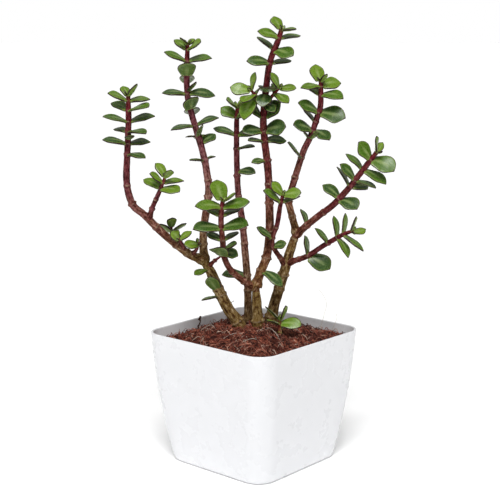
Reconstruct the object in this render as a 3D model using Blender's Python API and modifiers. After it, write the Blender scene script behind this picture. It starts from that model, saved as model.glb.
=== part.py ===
"""Potted jade plant: a square white pot, its potting mix, five grown stems and their pairs of thick leaves.

Units are metres and +Z is up. The origin is the middle of the pot's underside, and the pot's sides run along
X and Y. The plant is described in a frame of its own, in millimetres: its origin is the crown of the mix,
"across" runs along the broad side of the plant, "toward" runs out over the pot's front corner, and heights
go up.
"""

import math

import bmesh
import bpy
from mathutils import Matrix, Vector
from mathutils.bvhtree import BVHTree

MM = 0.001

# Pot
POT_WIDTH = 0.125
POT_BASE_WIDTH = 0.100
POT_HEIGHT = 0.105
POT_WALL = 0.0018
POT_CORNER = 0.0165
POT_BOW = 0.0019
POT_FOOT_ROUND = 0.0032
POT_RIM_ROUND = 0.0006
DRAIN_HOLE = 0.008
DRAIN_OFFSET = 0.026
DRAIN_SIDES = ((1, 0), (0, 1), (-1, 0), (0, -1))
CORNER_STEPS = 5
WALL_STEPS = 5

# Potting mix
MIX_BELOW_RIM = 0.010
MIX_DOME = 0.013
MIX_RIPPLE = 0.0008
MIX_RINGS = 6
WALL_LEAN = 1.2

# Plant
PLANT_TURN = math.radians(41.0)
PLANT_SPREAD = 1.0
PLANT_STRETCH = 1.0
STEM_GIRTH = 1.0
STEM_STEP = 0.009
STEM_SIDES_RESOLUTION = 2
TIP_TAPER = 0.30
TIP_TAPER_REACH = 0.016
TIP_TAPER_SHARE = 0.4

# Leaves
LEAF_SIZE = 1.0
LEAF_THICKNESS = 0.0022
COLLAR_HEIGHT = 0.0020
COLLAR_WALL = 0.0005
TIP_GIRTH = 0.0030
TIP_BUD = 0.0022

# Touching pieces stay this far apart
GAP = 0.0003
COLLAR_GAP = 0.0004

CROWN = POT_HEIGHT - MIX_BELOW_RIM + MIX_DOME
ACROSS = Vector((math.cos(PLANT_TURN), math.sin(PLANT_TURN), 0.0))
TOWARD = Vector((math.sin(PLANT_TURN), -math.cos(PLANT_TURN), 0.0))
UP = Vector((0.0, 0.0, 1.0))

# Each stem: (the stem that it grows from and the height it leaves at, thickness at its foot and at its end,
# the points that it grows through as (across, toward, height)). A stem from the mix has no parent.
STEMS = {
    "left_trunk": (None, 0, 9.8, 7.8, [(-8, 3, -12), (-12, 3, 2), (-20, 4, 14), (-27, 4, 28), (-34, 3, 44),
                                       (-41, 2, 56)]),
    "left_branch": ("left_trunk", 54, 6.6, 4.3, [(-51, 5, 59), (-69, 11, 75), (-84, 15, 91), (-93, 17, 100),
                                                 (-97, 18, 117), (-96, 17, 142), (-95, 15, 164),
                                                 (-95, 14, 184)]),
    "left_side_shoot": ("left_branch", 88, 4.0, 3.2, [(-77, 19, 99), (-71, 24, 112), (-67, 27, 122)]),
    "left_low_sprig": ("left_branch", 66, 2.8, 2.6, [(-64, 3, 71), (-65, -3, 80)]),
    "left_fork_sprig": ("left_branch", 62, 2.8, 2.6, [(-55, 10, 66), (-58, 14, 73)]),
    "left_bare_twig": ("left_branch", 58, 2.8, 2.6, [(-45, 8, 63), (-43, 13, 70)]),
    "left_upright": ("left_trunk", 53, 6.6, 4.2, [(-40, -5, 74), (-36, -11, 104), (-37, -14, 119),
                                                  (-41, -18, 138), (-47, -21, 158), (-52, -23, 177),
                                                  (-53, -24, 196), (-52, -24, 221)]),
    "dry_twig": ("left_trunk", 48, 3.0, 2.2, [(-32, 6, 53), (-26, 10, 58)]),
    "centre_trunk": (None, 0, 8.8, 7.4, [(5, 3, -12), (3, 4, 4), (2, 4, 20), (1, 4, 35)]),
    "mid_shoot": ("centre_trunk", 32, 5.2, 4.0, [(-8, 9, 38), (-18, 14, 48), (-23, 18, 59), (-24, 21, 71),
                                                 (-25, 22, 83), (-25, 23, 95), (-23, 24, 108)]),
    "tall_shoot": ("centre_trunk", 33, 7.2, 4.4, [(5, 2, 44), (10, 0, 57), (12, -2, 74), (12, -4, 91),
                                                  (11, -6, 120), (8, -7, 147), (7, -6, 163), (9, -4, 186),
                                                  (12, 0, 207), (18, 5, 223), (22, 8, 236)]),
    "tall_left_twig": ("tall_shoot", 174, 2.8, 2.6, [(4, -3, 178), (-3, -1, 186)]),
    "tall_right_twig": ("tall_shoot", 175, 2.8, 2.6, [(12, -3, 179), (19, 0, 187)]),
    "back_stem": (None, 0, 6.6, 4.0, [(-5, -14, -12), (-5, -14, 26), (-6, -15, 42), (-9, -19, 76),
                                      (-13, -24, 106), (-14, -28, 137), (-14, -30, 157), (-13, -30, 175)]),
    "right_trunk": (None, 0, 9.4, 6.8, [(12, -12, -12), (15, -12, 10), (22, -7, 36), (29, -4, 62),
                                        (34, -4, 76)]),
    "right_inner_shoot": ("right_trunk", 48, 4.0, 3.6, [(21, -2, 54), (14, 6, 68), (18, 9, 84), (20, 12, 98),
                                                        (23, 14, 110)]),
    "right_upright": ("right_trunk", 74, 5.8, 4.3, [(30, -8, 86), (27, -12, 99), (30, -15, 109),
                                                    (34, -18, 122), (39, -20, 137), (45, -21, 150),
                                                    (49, -22, 162), (52, -22, 173), (52, -21, 194)]),
    "right_branch": ("right_trunk", 73, 5.6, 4.2, [(48, 2, 87), (61, 7, 98), (72, 11, 111), (80, 14, 122),
                                                   (87, 16, 132), (95, 18, 143)]),
    "right_low_branch": ("right_trunk", 50, 4.6, 3.5, [(41, 4, 57), (53, 14, 67), (61, 20, 73), (68, 25, 78),
                                                       (76, 30, 82)]),
    "sprout": (None, 0, 3.2, 2.8, [(20, 18, -10), (20, 18, 3), (20, 18, 10)]),
}

# What one grown piece is made of: its foot stem and the stems that branch from it
GROWN_PIECES = {
    "left_stems": ("left_trunk", "left_branch", "left_side_shoot", "left_low_sprig", "left_fork_sprig",
                   "left_bare_twig", "left_upright", "dry_twig"),
    "centre_stems": ("centre_trunk", "mid_shoot", "tall_shoot", "tall_left_twig", "tall_right_twig"),
    "back_stem": ("back_stem",),
    "right_stems": ("right_trunk", "right_inner_shoot", "right_upright", "right_branch", "right_low_branch"),
    "sprout_stem": ("sprout",),
}

# The leaves of each leaf node: its stem, and for each ring on that stem the ring's height and its leaves.
# A leaf is (across, toward, up) from its foot to its end, then its width, then how many degrees its face
# turns to the light if that isn't the usual turn. A tip node closes the end of its stem. The others are rings
# that the stem runs through.
TIPS = {
    "left_branch_tip": ("left_branch", [(178, [(-13, 2, 6, 12), (14, -2, 1, 11)]),
                                        (182, [(6, 4, 9, 9), (-3, -6, 7, 8)])]),
    "left_side_shoot_tip": ("left_side_shoot", [(113, [(-12, -5, 5, 10), (13, 6, -1, 12)]),
                                                (117.5, [(-8, 5, 7, 8), (14, -5, 1, 9, 0)]),
                                                (122, [(-7, -4, 9, 9), (4, 6, 7, 7)])]),
    "left_low_sprig_tip": ("left_low_sprig", [(76, [(-9, 3, 6, 9, 10), (10, -3, 6, 9, 10)]),
                                              (79.5, [(1, 5, 7, 8), (0, -6, 6, 7)])]),
    "left_fork_sprig_tip": ("left_fork_sprig", [(72, [(-4, 3, 8, 9), (8, -2, 6, 8, 10)])]),
    "left_bare_twig_tip": ("left_bare_twig", [(68, [(-9, 7, 1, 9, 10)])]),
    "left_upright_tip": ("left_upright", [(216, [(9, 5, 6, 13, 45), (-9, -5, 7, 9)]),
                                          (220, [(4, -6, 4, 6), (-4, 5, 5, 6)])]),
    "mid_shoot_tip": ("mid_shoot", [(103.5, [(-3, -5, 15, 16), (8, 4, 7, 9)])]),
    "tall_shoot_tip": ("tall_shoot", [(225, [(-14, 3, 4, 11), (14, -3, 2, 10, 0)]),
                                      (231, [(9, 4, 1, 8, 10), (-4, -3, 9, 10)])]),
    "tall_left_twig_tip": ("tall_left_twig", [(182, [(-9, 8, -5, 12, 40), (1, -10, 1, 8)]),
                                              (185.5, [(-15, -1, 3, 12, 40), (2, 3, 13, 9)])]),
    "tall_right_twig_tip": ("tall_right_twig", [(183, [(10, 7, -6, 10, 40), (0, -8, 6, 6)]),
                                                (187, [(12, 1, 1, 8), (-6, 4, 11, 10)])]),
    "back_stem_tip": ("back_stem", [(163, [(-11, -3, 7, 12, 45), (7, 9, 3, 13, 45)]),
                                    (171, [(-7, 5, 6, 11, 40), (6, -5, 6, 8)])]),
    "right_inner_shoot_tip": ("right_inner_shoot", [(101, [(-12, 3, 9, 10), (13, -6, 4, 8, 0)]),
                                                    (106.5, [(-7, 2, 10, 10, 45), (12, 4, 3, 12, 50)])]),
    "right_upright_tip": ("right_upright", [(187.5, [(-14, 6, -1, 10), (14, -4, 2, 14, 45)]),
                                            (191.5, [(-3, -3, 13, 13), (3, 6, 6, 7)])]),
    "right_branch_tip": ("right_branch", [(134, [(-8, 3, 12, 13, 55), (15, 6, -7, 16, 60)]),
                                          (140, [(0, 4, 12, 9, 40), (4, -6, 7, 6)])]),
    "right_low_branch_tip": ("right_low_branch", [(78, [(2, -3, 14, 7, 0), (14, 6, -10, 8, 0)]),
                                                  (81, [(10, -4, 2, 6, 0), (4, 4, 11, 6, 0)])]),
    "sprout_tip": ("sprout", [(6, [(-13, 4, 0, 9), (14, 4, -1, 12, 30)]),
                              (9.5, [(-10, 2, 10, 7, 0), (2, -4, 9, 10)])]),
}
RINGS = {
    "left_branch_leaves_4": ("left_branch", [(171, [(-12, -7, 5, 11), (14, 7, 3, 14)])]),
    "left_branch_leaves_3": ("left_branch", [(162.5, [(-16, 5, 4, 12), (17, -4, 4, 12)])]),
    "left_branch_leaves_2": ("left_branch", [(155, [(-10, -8, 1, 9), (12, 8, -1, 11)])]),
    "left_branch_leaves_1": ("left_branch", [(146, [(-16, 3, 3, 12), (14, -4, 1, 11)]),
                                             (138, [(12, 7, -2, 10)])]),
    "left_upright_leaves_6": ("left_upright", [(207, [(-15, 3, 7, 12), (17, -3, 2, 13)])]),
    "left_upright_leaves_5": ("left_upright", [(196, [(0, 9, 10, 15), (-1, -12, -8, 13)])]),
    "left_upright_leaves_4": ("left_upright", [(181.5, [(-17, 2, 1, 12), (19, -2, -2, 14, 35)])]),
    "left_upright_leaves_3": ("left_upright", [(170, [(1, 9, 9, 14), (2, -12, -6, 13)])]),
    "left_upright_leaves_2": ("left_upright", [(157, [(-16, 2, -3, 12), (16, -3, 5, 12)]),
                                               (149, [(4, 5, 9, 8), (8, -11, -6, 13, 40)])]),
    "left_upright_leaves_1": ("left_upright", [(130, [(-9, 6, 1, 7)])]),
    "mid_shoot_leaves_4": ("mid_shoot", [(98.5, [(-18, 6, 1, 13, 30), (19, 5, 5, 14, 35)])]),
    "mid_shoot_leaves_3": ("mid_shoot", [(92, [(-8, -9, 4, 11, 0), (11, -8, 4, 11, 0)])]),
    "mid_shoot_leaves_2": ("mid_shoot", [(82, [(-19, 5, 0, 13, 30), (18, 6, 3, 14, 35)])]),
    "mid_shoot_leaves_1": ("mid_shoot", [(73, [(-10, -6, 4, 10, 10), (9, -6, 5, 10, 0)]),
                                         (61, [(-2, 10, 9, 15, 40), (9, -2, -3, 10, 40)])]),
    "tall_shoot_leaves_6": ("tall_shoot", [(216, [(-11, -5, 8, 10, 0), (12, 8, -3, 14, 45)])]),
    "tall_shoot_leaves_5": ("tall_shoot", [(206, [(-15, 4, 1, 12, 30), (14, -4, 2, 10, 0)])]),
    "tall_shoot_leaves_4": ("tall_shoot", [(185, [(2, 12, 3, 15), (0, -13, 2, 12)])]),
    "tall_shoot_leaves_3": ("tall_shoot", [(165, [(10, 3, 11, 14, 50), (-9, 5, 9, 12, 50)]),
                                           (154, [(14, 6, 3, 15, 60), (-13, 6, -1, 12, 50)])]),
    "tall_shoot_leaves_2": ("tall_shoot", [(146, [(14, -5, -1, 11, 40), (-10, 4, 1, 8)])]),
    "tall_shoot_leaves_1": ("tall_shoot", [(45, [(13, 8, -10, 11, 50)])]),
    "back_stem_leaves_3": ("back_stem", [(149, [(-16, -3, 5, 12), (16, 3, 2, 13, 45)])]),
    "back_stem_leaves_2": ("back_stem", [(138, [(12, 5, 2, 8)])]),
    "back_stem_leaves_1": ("back_stem", [(38, [(-17, -2, 0, 12, 35)])]),
    "right_inner_shoot_leaves": ("right_inner_shoot", [(72, [(-10, 4, 9, 9)])]),
    "right_upright_leaves_5": ("right_upright", [(181, [(-8, -8, 7, 10, 10), (15, 5, -3, 13, 35)])]),
    "right_upright_leaves_4": ("right_upright", [(167, [(-14, 5, 7, 13, 45), (18, 6, -3, 17, 60)])]),
    "right_upright_leaves_3": ("right_upright", [(160, [(-7, -7, 9, 9, 0)])]),
    "right_upright_leaves_2": ("right_upright", [(153, [(-13, 6, 4, 14, 45), (10, 7, -6, 14, 45)])]),
    "right_upright_leaves_1": ("right_upright", [(132, [(-9, 9, 12, 11, 45)])]),
    "right_branch_leaves_4": ("right_branch", [(126, [(-11, -4, 10, 10, 20), (15, 4, -9, 11, 35)])]),
    "right_branch_leaves_3": ("right_branch", [(118, [(-10, 5, 11, 10, 45), (13, 5, -4, 9, 10)]),
                                               (113, [(-8, -4, 13, 9, 0), (12, -7, 1, 9, 10)])]),
    "right_branch_leaves_2": ("right_branch", [(103, [(-11, -4, 8, 11, 40), (11, 8, -5, 14, 60)])]),
    "right_branch_leaves_1": ("right_branch", [(81, [(-4, -9, 9, 8, 0)])]),
    "right_low_branch_leaves_3": ("right_low_branch", [(75, [(-2, -4, 14, 8, 0), (7, 4, -13, 9, 10)])]),
    "right_low_branch_leaves_2": ("right_low_branch", [(70, [(-9, 2, 10, 8, 0)])]),
    "right_low_branch_leaves_1": ("right_low_branch", [(58, [(-2, 3, 14, 8, 0), (15, 5, -8, 14, 60)])]),
    "left_trunk_leaves": ("left_trunk", [(26, [(-11, 5, -1, 8, 10)]), (31, [(-6, 5, 12, 11, 45)])]),
}

# A leaf that would touch something is turned about its stem, then lifted or lowered, then grown shorter
TURNS = (0, 14, -14, 28, -28, 42, -42, 60, -60, 80, -80)
LIFTS = (0, 12, -12, 24, -24, 38, -38)
SHORTENINGS = (1.0, 0.85, 0.7, 0.55)

# A leaf's sections: share of its length, of its width and of its thickness
LEAF_SECTIONS = ((0.18, 0.58, 0.95), (0.48, 0.96, 1.0), (0.80, 0.88, 0.8), (1.0, 0.36, 0.4))
LEAF_MARGIN = 0.30
LEAF_ARCH = 0.16
LEAF_BEND = 0.45

# Leaves turn their faces to the light, which comes from the plant's broad side, by so many degrees
USUAL_ROLL = 26

COLOURS = {
    "pot": ((0.86, 0.87, 0.88), 0.18),
    "potting_mix": ((0.18, 0.055, 0.035), 0.95),
    "stem": ((0.15, 0.075, 0.045), 0.6),
    "leaf": ((0.15, 0.30, 0.035), 0.35),
    "young_leaf": ((0.26, 0.42, 0.05), 0.35),
}


def clear_scene():
    """Removes what the file opened with."""
    for thing in list(bpy.data.objects):
        bpy.data.objects.remove(thing, do_unlink=True)


def new_collection(name):
    """Makes a collection in the scene."""
    collection = bpy.data.collections.new(name)
    bpy.context.scene.collection.children.link(collection)
    return collection


def material(name):
    """The finish of one kind of piece, made once."""
    made = bpy.data.materials.get(name)
    if made is not None:
        return made
    made = bpy.data.materials.new(name)
    made.use_nodes = True
    colour, roughness = COLOURS[name]
    shader = made.node_tree.nodes["Principled BSDF"]
    shader.inputs["Base Color"].default_value = (*colour, 1.0)
    shader.inputs["Roughness"].default_value = roughness
    shader.inputs["Metallic"].default_value = 0.0
    return made


def object_from(bm, name, finish, collection):
    """Turns a bmesh into a smooth-shaded object with a finish."""
    bmesh.ops.recalc_face_normals(bm, faces=bm.faces)
    mesh = bpy.data.meshes.new(name)
    bm.to_mesh(mesh)
    bm.free()
    mesh.shade_smooth()
    made = bpy.data.objects.new(name, mesh)
    made.data.materials.append(material(finish))
    collection.objects.link(made)
    return made


def plant_point(across, toward, height):
    """A place in the plant's frame, in millimetres, as a world position."""
    flat = (ACROSS * across + TOWARD * toward) * MM * PLANT_SPREAD
    rise = height * MM * PLANT_STRETCH if height > 0 else height * MM
    return flat + UP * (CROWN + rise)


def plant_vector(across, toward, up):
    """A direction and length in the plant's frame, in millimetres, as a world vector."""
    return (ACROSS * across + TOWARD * toward + UP * up) * MM


# ---------------------------------------------------------------- pot and mix


def pot_half_width(height):
    """Half the pot's outer width at a height, with its bowed walls."""
    share = height / POT_HEIGHT
    straight = POT_BASE_WIDTH + (POT_WIDTH - POT_BASE_WIDTH) * share
    return straight / 2 + POT_BOW * 4 * share * (1 - share)


def rounded_square(bm, half, radius, height):
    """One closed loop of vertices: a square with round corners."""
    loop = []
    for corner in range(4):
        centre_angle = math.pi / 2 * corner + math.pi / 4
        reach = (half - radius) * math.sqrt(2)
        centre = Vector((math.cos(centre_angle), math.sin(centre_angle), 0)) * reach
        for step in range(CORNER_STEPS):
            angle = math.pi / 2 * (corner + step / (CORNER_STEPS - 1))
            edge = Vector((math.cos(angle), math.sin(angle), 0)) * radius
            loop.append(bm.verts.new(centre + edge + UP * height))
    return loop


def bridge(bm, lower, upper):
    """Joins two loops of as many vertices with a band of faces."""
    count = len(lower)
    for i in range(count):
        j = (i + 1) % count
        bm.faces.new((lower[i], lower[j], upper[j], upper[i]))


def stack(bm, loops):
    """Joins each loop to the next."""
    for lower, upper in zip(loops, loops[1:]):
        bridge(bm, lower, upper)


def add_modifier(piece, name, kind, **settings):
    """Adds a modifier with its settings."""
    modifier = piece.modifiers.new(name, kind)
    for key, value in settings.items():
        setattr(modifier, key, value)
    return modifier


def hide_cutter(piece):
    """Shows a cutter as a wire and keeps it out of renders."""
    piece.hide_render = True
    piece.display_type = "WIRE"


def build_pot(parts, cutters):
    """The pot: an open shell with a rounded foot, solidified, with four drain holes."""
    bm = bmesh.new()
    loops = []
    for step in range(4):
        angle = math.pi / 2 * step / 3
        inset = POT_FOOT_ROUND * (1 - math.sin(angle))
        height = POT_FOOT_ROUND * (1 - math.cos(angle))
        half = pot_half_width(height) - inset
        loops.append(rounded_square(bm, half, POT_CORNER - inset, height))
    for step in range(1, WALL_STEPS + 1):
        height = POT_FOOT_ROUND + (POT_HEIGHT - POT_FOOT_ROUND) * step / WALL_STEPS
        loops.append(rounded_square(bm, pot_half_width(height), POT_CORNER, height))
    bm.faces.new(reversed(loops[0]))
    stack(bm, loops)
    pot = object_from(bm, "pot", "pot", parts)
    add_modifier(pot, "Wall", "SOLIDIFY", thickness=POT_WALL, offset=-1.0, use_even_offset=True)
    add_modifier(pot, "Rim", "BEVEL", width=POT_RIM_ROUND, segments=2, limit_method="ANGLE",
                 angle_limit=math.radians(60))
    for number, (x, y) in enumerate(DRAIN_SIDES, start=1):
        bpy.ops.mesh.primitive_cylinder_add(vertices=16, radius=DRAIN_HOLE / 2, depth=POT_WALL * 6,
                                            location=(x * DRAIN_OFFSET, y * DRAIN_OFFSET, 0))
        cutter = bpy.context.object
        cutter.name = f"drain_hole_{number}"
        move_to(cutter, cutters)
        hide_cutter(cutter)
        add_modifier(pot, f"Drain hole {number}", "BOOLEAN", operation="DIFFERENCE", object=cutter)
    return pot


def move_to(piece, collection):
    """Puts an object in one collection only."""
    for old in list(piece.users_collection):
        old.objects.unlink(piece)
    collection.objects.link(piece)


def mix_height(share, angle):
    """The height of the mix's surface, from the middle (share 0) to the pot's wall (share 1)."""
    dome = MIX_DOME * math.cos(math.pi / 2 * share) ** 1.2
    ripple = MIX_RIPPLE * math.sin(3 * angle + 7 * share) * share
    return POT_HEIGHT - MIX_BELOW_RIM + dome + ripple


def build_mix(parts, cutters, paths):
    """The potting mix: a fill that clears the pot's wall and floor, domed, with a socket for each stem."""
    bm = bmesh.new()
    clear = POT_WALL + GAP
    floor = POT_WALL + GAP
    top = POT_HEIGHT - MIX_BELOW_RIM
    loops = [rounded_square(bm, pot_half_width(floor) - clear - POT_FOOT_ROUND, POT_CORNER - clear, floor)]
    for step in range(WALL_STEPS + 1):
        height = floor + POT_FOOT_ROUND + (top - floor - POT_FOOT_ROUND) * step / WALL_STEPS
        half = pot_half_width(height) - clear * WALL_LEAN
        loops.append(rounded_square(bm, half, POT_CORNER - clear, height))
    for vertex in loops[-1]:
        vertex.co.z = mix_height(1.0, math.atan2(vertex.co.y, vertex.co.x))
    edge = loops[-1]
    for ring in range(MIX_RINGS - 1, 0, -1):
        share = ring / MIX_RINGS
        loop = []
        for vertex in edge:
            angle = math.atan2(vertex.co.y, vertex.co.x)
            flat = Vector((vertex.co.x, vertex.co.y, 0)) * share
            loop.append(bm.verts.new(flat + UP * mix_height(share, angle)))
        loops.append(loop)
    bm.faces.new(reversed(loops[0]))
    stack(bm, loops)
    middle = bm.verts.new(UP * mix_height(0.0, 0.0))
    for i, vertex in enumerate(loops[-1]):
        bm.faces.new((vertex, loops[-1][(i + 1) % len(loops[-1])], middle))
    mix = object_from(bm, "potting_mix", "potting_mix", parts)
    for name, (parent, _height, _foot, _end, _points) in STEMS.items():
        if parent is not None:
            continue
        cutter = tube(f"socket_{name}", paths[name], cutters, grow=GAP)
        hide_cutter(cutter)
        add_modifier(mix, f"Socket {name}", "BOOLEAN", operation="DIFFERENCE", object=cutter)
    return mix


# ---------------------------------------------------------------- stems


class Path:
    """The line that a stem grows along, as closely spaced points, with the stem's thickness."""

    def __init__(self, points, foot, end):
        self.points = points
        self.foot = foot
        self.end = end
        self.lengths = [0.0]
        for a, b in zip(points, points[1:]):
            self.lengths.append(self.lengths[-1] + (b - a).length)
        self.stop = self.lengths[-1]

    def at(self, distance):
        """The place at a distance from the foot."""
        for i in range(1, len(self.lengths)):
            if distance <= self.lengths[i] or i == len(self.lengths) - 1:
                span = self.lengths[i] - self.lengths[i - 1]
                share = (distance - self.lengths[i - 1]) / span
                return self.points[i - 1].lerp(self.points[i], share)
        return self.points[-1]

    def direction(self, distance):
        """The way the stem grows at a distance from the foot."""
        reach = 0.002
        low = max(0.0, distance - reach)
        return (self.at(distance + reach) - self.at(low)).normalized()

    def radius(self, distance):
        """Half the stem's thickness at a distance from the foot."""
        share = min(1.0, distance / self.lengths[-1])
        reach = min(TIP_TAPER_REACH, self.lengths[-1] * TIP_TAPER_SHARE)
        slimmed = max(0.0, 1 - (self.lengths[-1] - distance) / reach) * TIP_TAPER
        return (self.foot + (self.end - self.foot) * share) * (1 - slimmed) / 2

    def distance_at(self, height):
        """How far along the stem its line passes a height of the plant's frame."""
        level = plant_point(0, 0, height).z
        for i in range(1, len(self.points)):
            low, high = self.points[i - 1].z, self.points[i].z
            if low <= level <= high and high > low:
                share = (level - low) / (high - low)
                return self.lengths[i - 1] + share * (self.lengths[i] - self.lengths[i - 1])
        return self.lengths[-1]


def smooth_line(controls):
    """A smooth curve through the points, sampled at about one stem step (a Catmull-Rom spline)."""
    ends = [controls[0] * 2 - controls[1], *controls, controls[-1] * 2 - controls[-2]]
    points = [controls[0]]
    for a, b, c, d in zip(ends, ends[1:], ends[2:], ends[3:]):
        steps = max(1, round((c - b).length / STEM_STEP))
        for step in range(1, steps + 1):
            t = step / steps
            first = b * 2 + (c - a) * t
            second = (a * 2 - b * 5 + c * 4 - d) * t**2
            third = (b * 3 - a - c * 3 + d) * t**3
            points.append((first + second + third) / 2)
    return points


def grow_paths():
    """The line of each stem, a branch starting on its parent's line."""
    paths = {}
    for name, (parent, leaves_at, foot, end, route) in STEMS.items():
        controls = [plant_point(*place) for place in route]
        if parent is not None:
            line = paths[parent]
            controls.insert(0, line.at(line.distance_at(leaves_at)))
        girth = MM * STEM_GIRTH
        paths[name] = Path(smooth_line(controls), foot * girth, end * girth)
    for stem, levels in TIPS.values():
        path = paths[stem]
        path.stop = path.distance_at(levels[0][0]) - COLLAR_HEIGHT / 2 - GAP
    return paths


def stem_samples(path):
    """The distances at which a stem's tube has a point: those of its line, then its end."""
    inner = [length for length in path.lengths if length < path.stop - STEM_STEP / 4]
    return [*inner, path.stop]


def tube(name, path, collection, grow=0.0):
    """A stem as a bevelled curve made into a mesh, or its socket when it is grown by a clearance."""
    curve = bpy.data.curves.new(name, "CURVE")
    curve.dimensions = "3D"
    curve.bevel_depth = 1.0
    curve.bevel_resolution = STEM_SIDES_RESOLUTION
    curve.use_fill_caps = True
    spline = curve.splines.new("POLY")
    samples = stem_samples(path)
    spline.points.add(len(samples) - 1)
    for point, distance in zip(spline.points, samples):
        place = path.at(distance)
        if distance == 0.0:
            place = place - path.direction(0.0) * grow
        point.co = (*place, 1.0)
        point.radius = path.radius(distance) + grow
    bent = bpy.data.objects.new(name, curve)
    collection.objects.link(bent)
    bpy.context.view_layer.update()
    evaluated = bent.evaluated_get(bpy.context.evaluated_depsgraph_get())
    mesh = bpy.data.meshes.new_from_object(evaluated)
    bpy.data.objects.remove(bent, do_unlink=True)
    bm = bmesh.new()
    bm.from_mesh(mesh)
    bmesh.ops.remove_doubles(bm, verts=bm.verts, dist=1e-6)
    bpy.data.meshes.remove(mesh)
    return object_from(bm, name, "stem", collection)


def joined(target, others, name):
    """The target with each other solid joined to it, as a plain mesh."""
    for other in others:
        add_modifier(target, other.name, "BOOLEAN", operation="UNION", solver="MANIFOLD", object=other)
    bpy.context.view_layer.update()
    evaluated = target.evaluated_get(bpy.context.evaluated_depsgraph_get())
    mesh = bpy.data.meshes.new_from_object(evaluated)
    target.modifiers.clear()
    target.data = mesh
    for other in others:
        bpy.data.objects.remove(other, do_unlink=True)
    target.name = name
    target.data.name = name
    target.data.shade_smooth()
    return target


def build_stems(parts, paths):
    """One solid for each grown piece."""
    made = []
    for piece, stems in GROWN_PIECES.items():
        tubes = [tube(f"{stem}_tube", paths[stem], parts) for stem in stems]
        made.append(joined(tubes[0], tubes[1:], piece))
    return made


# ---------------------------------------------------------------- leaves


def square_to(direction, axis):
    """The part of a direction that is square to an axis."""
    flat = direction - axis * direction.dot(axis)
    if flat.length < 1e-6:
        flat = axis.orthogonal()
    return flat.normalized()


class Level:
    """One ring of a leaf node: its place on the stem, the way its pair of leaves faces, and its leaves."""

    def __init__(self, path, height, leaves, is_tip):
        self.distance = path.distance_at(height)
        self.centre = path.at(self.distance)
        self.axis = path.direction(self.distance)
        self.leaves = leaves
        first = plant_vector(*leaves[0][:3])
        facing = square_to(first, self.axis)
        if len(leaves) > 1:
            second = square_to(plant_vector(*leaves[1][:3]), self.axis)
            if (facing - second).length > 0.5:
                facing = square_to(facing - second, self.axis)
        self.facing = facing
        stem = path.radius(self.distance) + COLLAR_GAP
        self.inner = stem / math.cos(math.pi / 6)
        self.outer = TIP_GIRTH / 2 * STEM_GIRTH if is_tip else (self.inner + COLLAR_WALL)

    def corner(self, turn, radius, rise):
        """A point of a six-sided loop around the stem, its first corner in the pair's direction."""
        spun = Matrix.Rotation(turn, 3, self.axis) @ self.facing
        return self.centre + spun * radius + self.axis * rise


def leaf_loops(level, side, vector, width, roll_degrees, fat):
    """The sections of one leaf as lists of six places, from its foot at the ring to its end."""
    outward = level.facing * side
    foot = level.centre + outward * level.outer * math.cos(math.pi / 6)
    bend = foot + vector * LEAF_BEND + (level.axis * LEAF_ARCH + outward * LEAF_ARCH / 2) * vector.length
    end = foot + vector
    loops = []
    for share, wide, thick in LEAF_SECTIONS:
        if fat and share == 1.0:
            share += fat / vector.length
        place = foot * (1 - share) ** 2 + bend * 2 * share * (1 - share) + end * share**2
        along = ((bend - foot) * (1 - share) + (end - bend) * share).normalized()
        face = level.axis - along * level.axis.dot(along)
        if face.length < 0.05:
            face = -outward
        face.normalize()
        across = along.cross(face)
        roll = math.radians(roll_degrees) * min(1.0, 2 * share) * across.dot(TOWARD)
        face = face * math.cos(roll) + across * math.sin(roll)
        across = along.cross(face)
        half = width * wide / 2 + fat
        deep = LEAF_THICKNESS * thick / 2 + fat
        rim = deep * LEAF_MARGIN
        left, right = place - across * half, place + across * half
        loops.append([left - face * rim, place - face * deep, right - face * rim,
                      right + face * rim, place + face * deep, left + face * rim])
    return loops


def cap_and_stack(bm, rows):
    """Joins rows of vertices into a closed-ended tube, with its last row capped."""
    stack(bm, rows)
    bm.faces.new(rows[-1])


def leaf_tree(loops):
    """A search tree of one leaf's own surface."""
    bm = bmesh.new()
    rows = [[bm.verts.new(place) for place in loop] for loop in loops]
    bm.faces.new(reversed(rows[0]))
    cap_and_stack(bm, rows)
    tree = BVHTree.FromBMesh(bm)
    bm.free()
    return tree


def bounds_of(places):
    """The box around some places, as its low and high corners."""
    low = Vector([min(place[i] for place in places) for i in range(3)])
    high = Vector([max(place[i] for place in places) for i in range(3)])
    return low, high


def boxes_meet(first, second):
    """Whether two boxes overlap."""
    return all(first[0][i] <= second[1][i] and second[0][i] <= first[1][i] for i in range(3))


class Surroundings:
    """Everything that a new leaf has to stay clear of."""

    def __init__(self):
        self.things = []

    def add(self, tree, box, owner):
        """Adds a surface, with the leaf node that it belongs to."""
        self.things.append((tree, box, owner))

    def add_object(self, piece):
        """Adds an object as its modifiers leave it."""
        bpy.context.view_layer.update()
        evaluated = piece.evaluated_get(bpy.context.evaluated_depsgraph_get())
        mesh = evaluated.to_mesh()
        bm = bmesh.new()
        bm.from_mesh(mesh)
        self.add(BVHTree.FromBMesh(bm), bounds_of([vertex.co for vertex in bm.verts]), None)
        bm.free()
        evaluated.to_mesh_clear()

    def free(self, loops, owner):
        """Whether a leaf with these sections touches nothing. Its own ring is left out."""
        box = bounds_of([place for loop in loops for place in loop])
        near = [tree for tree, other, whose in self.things if whose != owner and boxes_meet(box, other)]
        if not near:
            return True
        own = leaf_tree(loops)
        return not any(own.overlap(tree) for tree in near)


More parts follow.
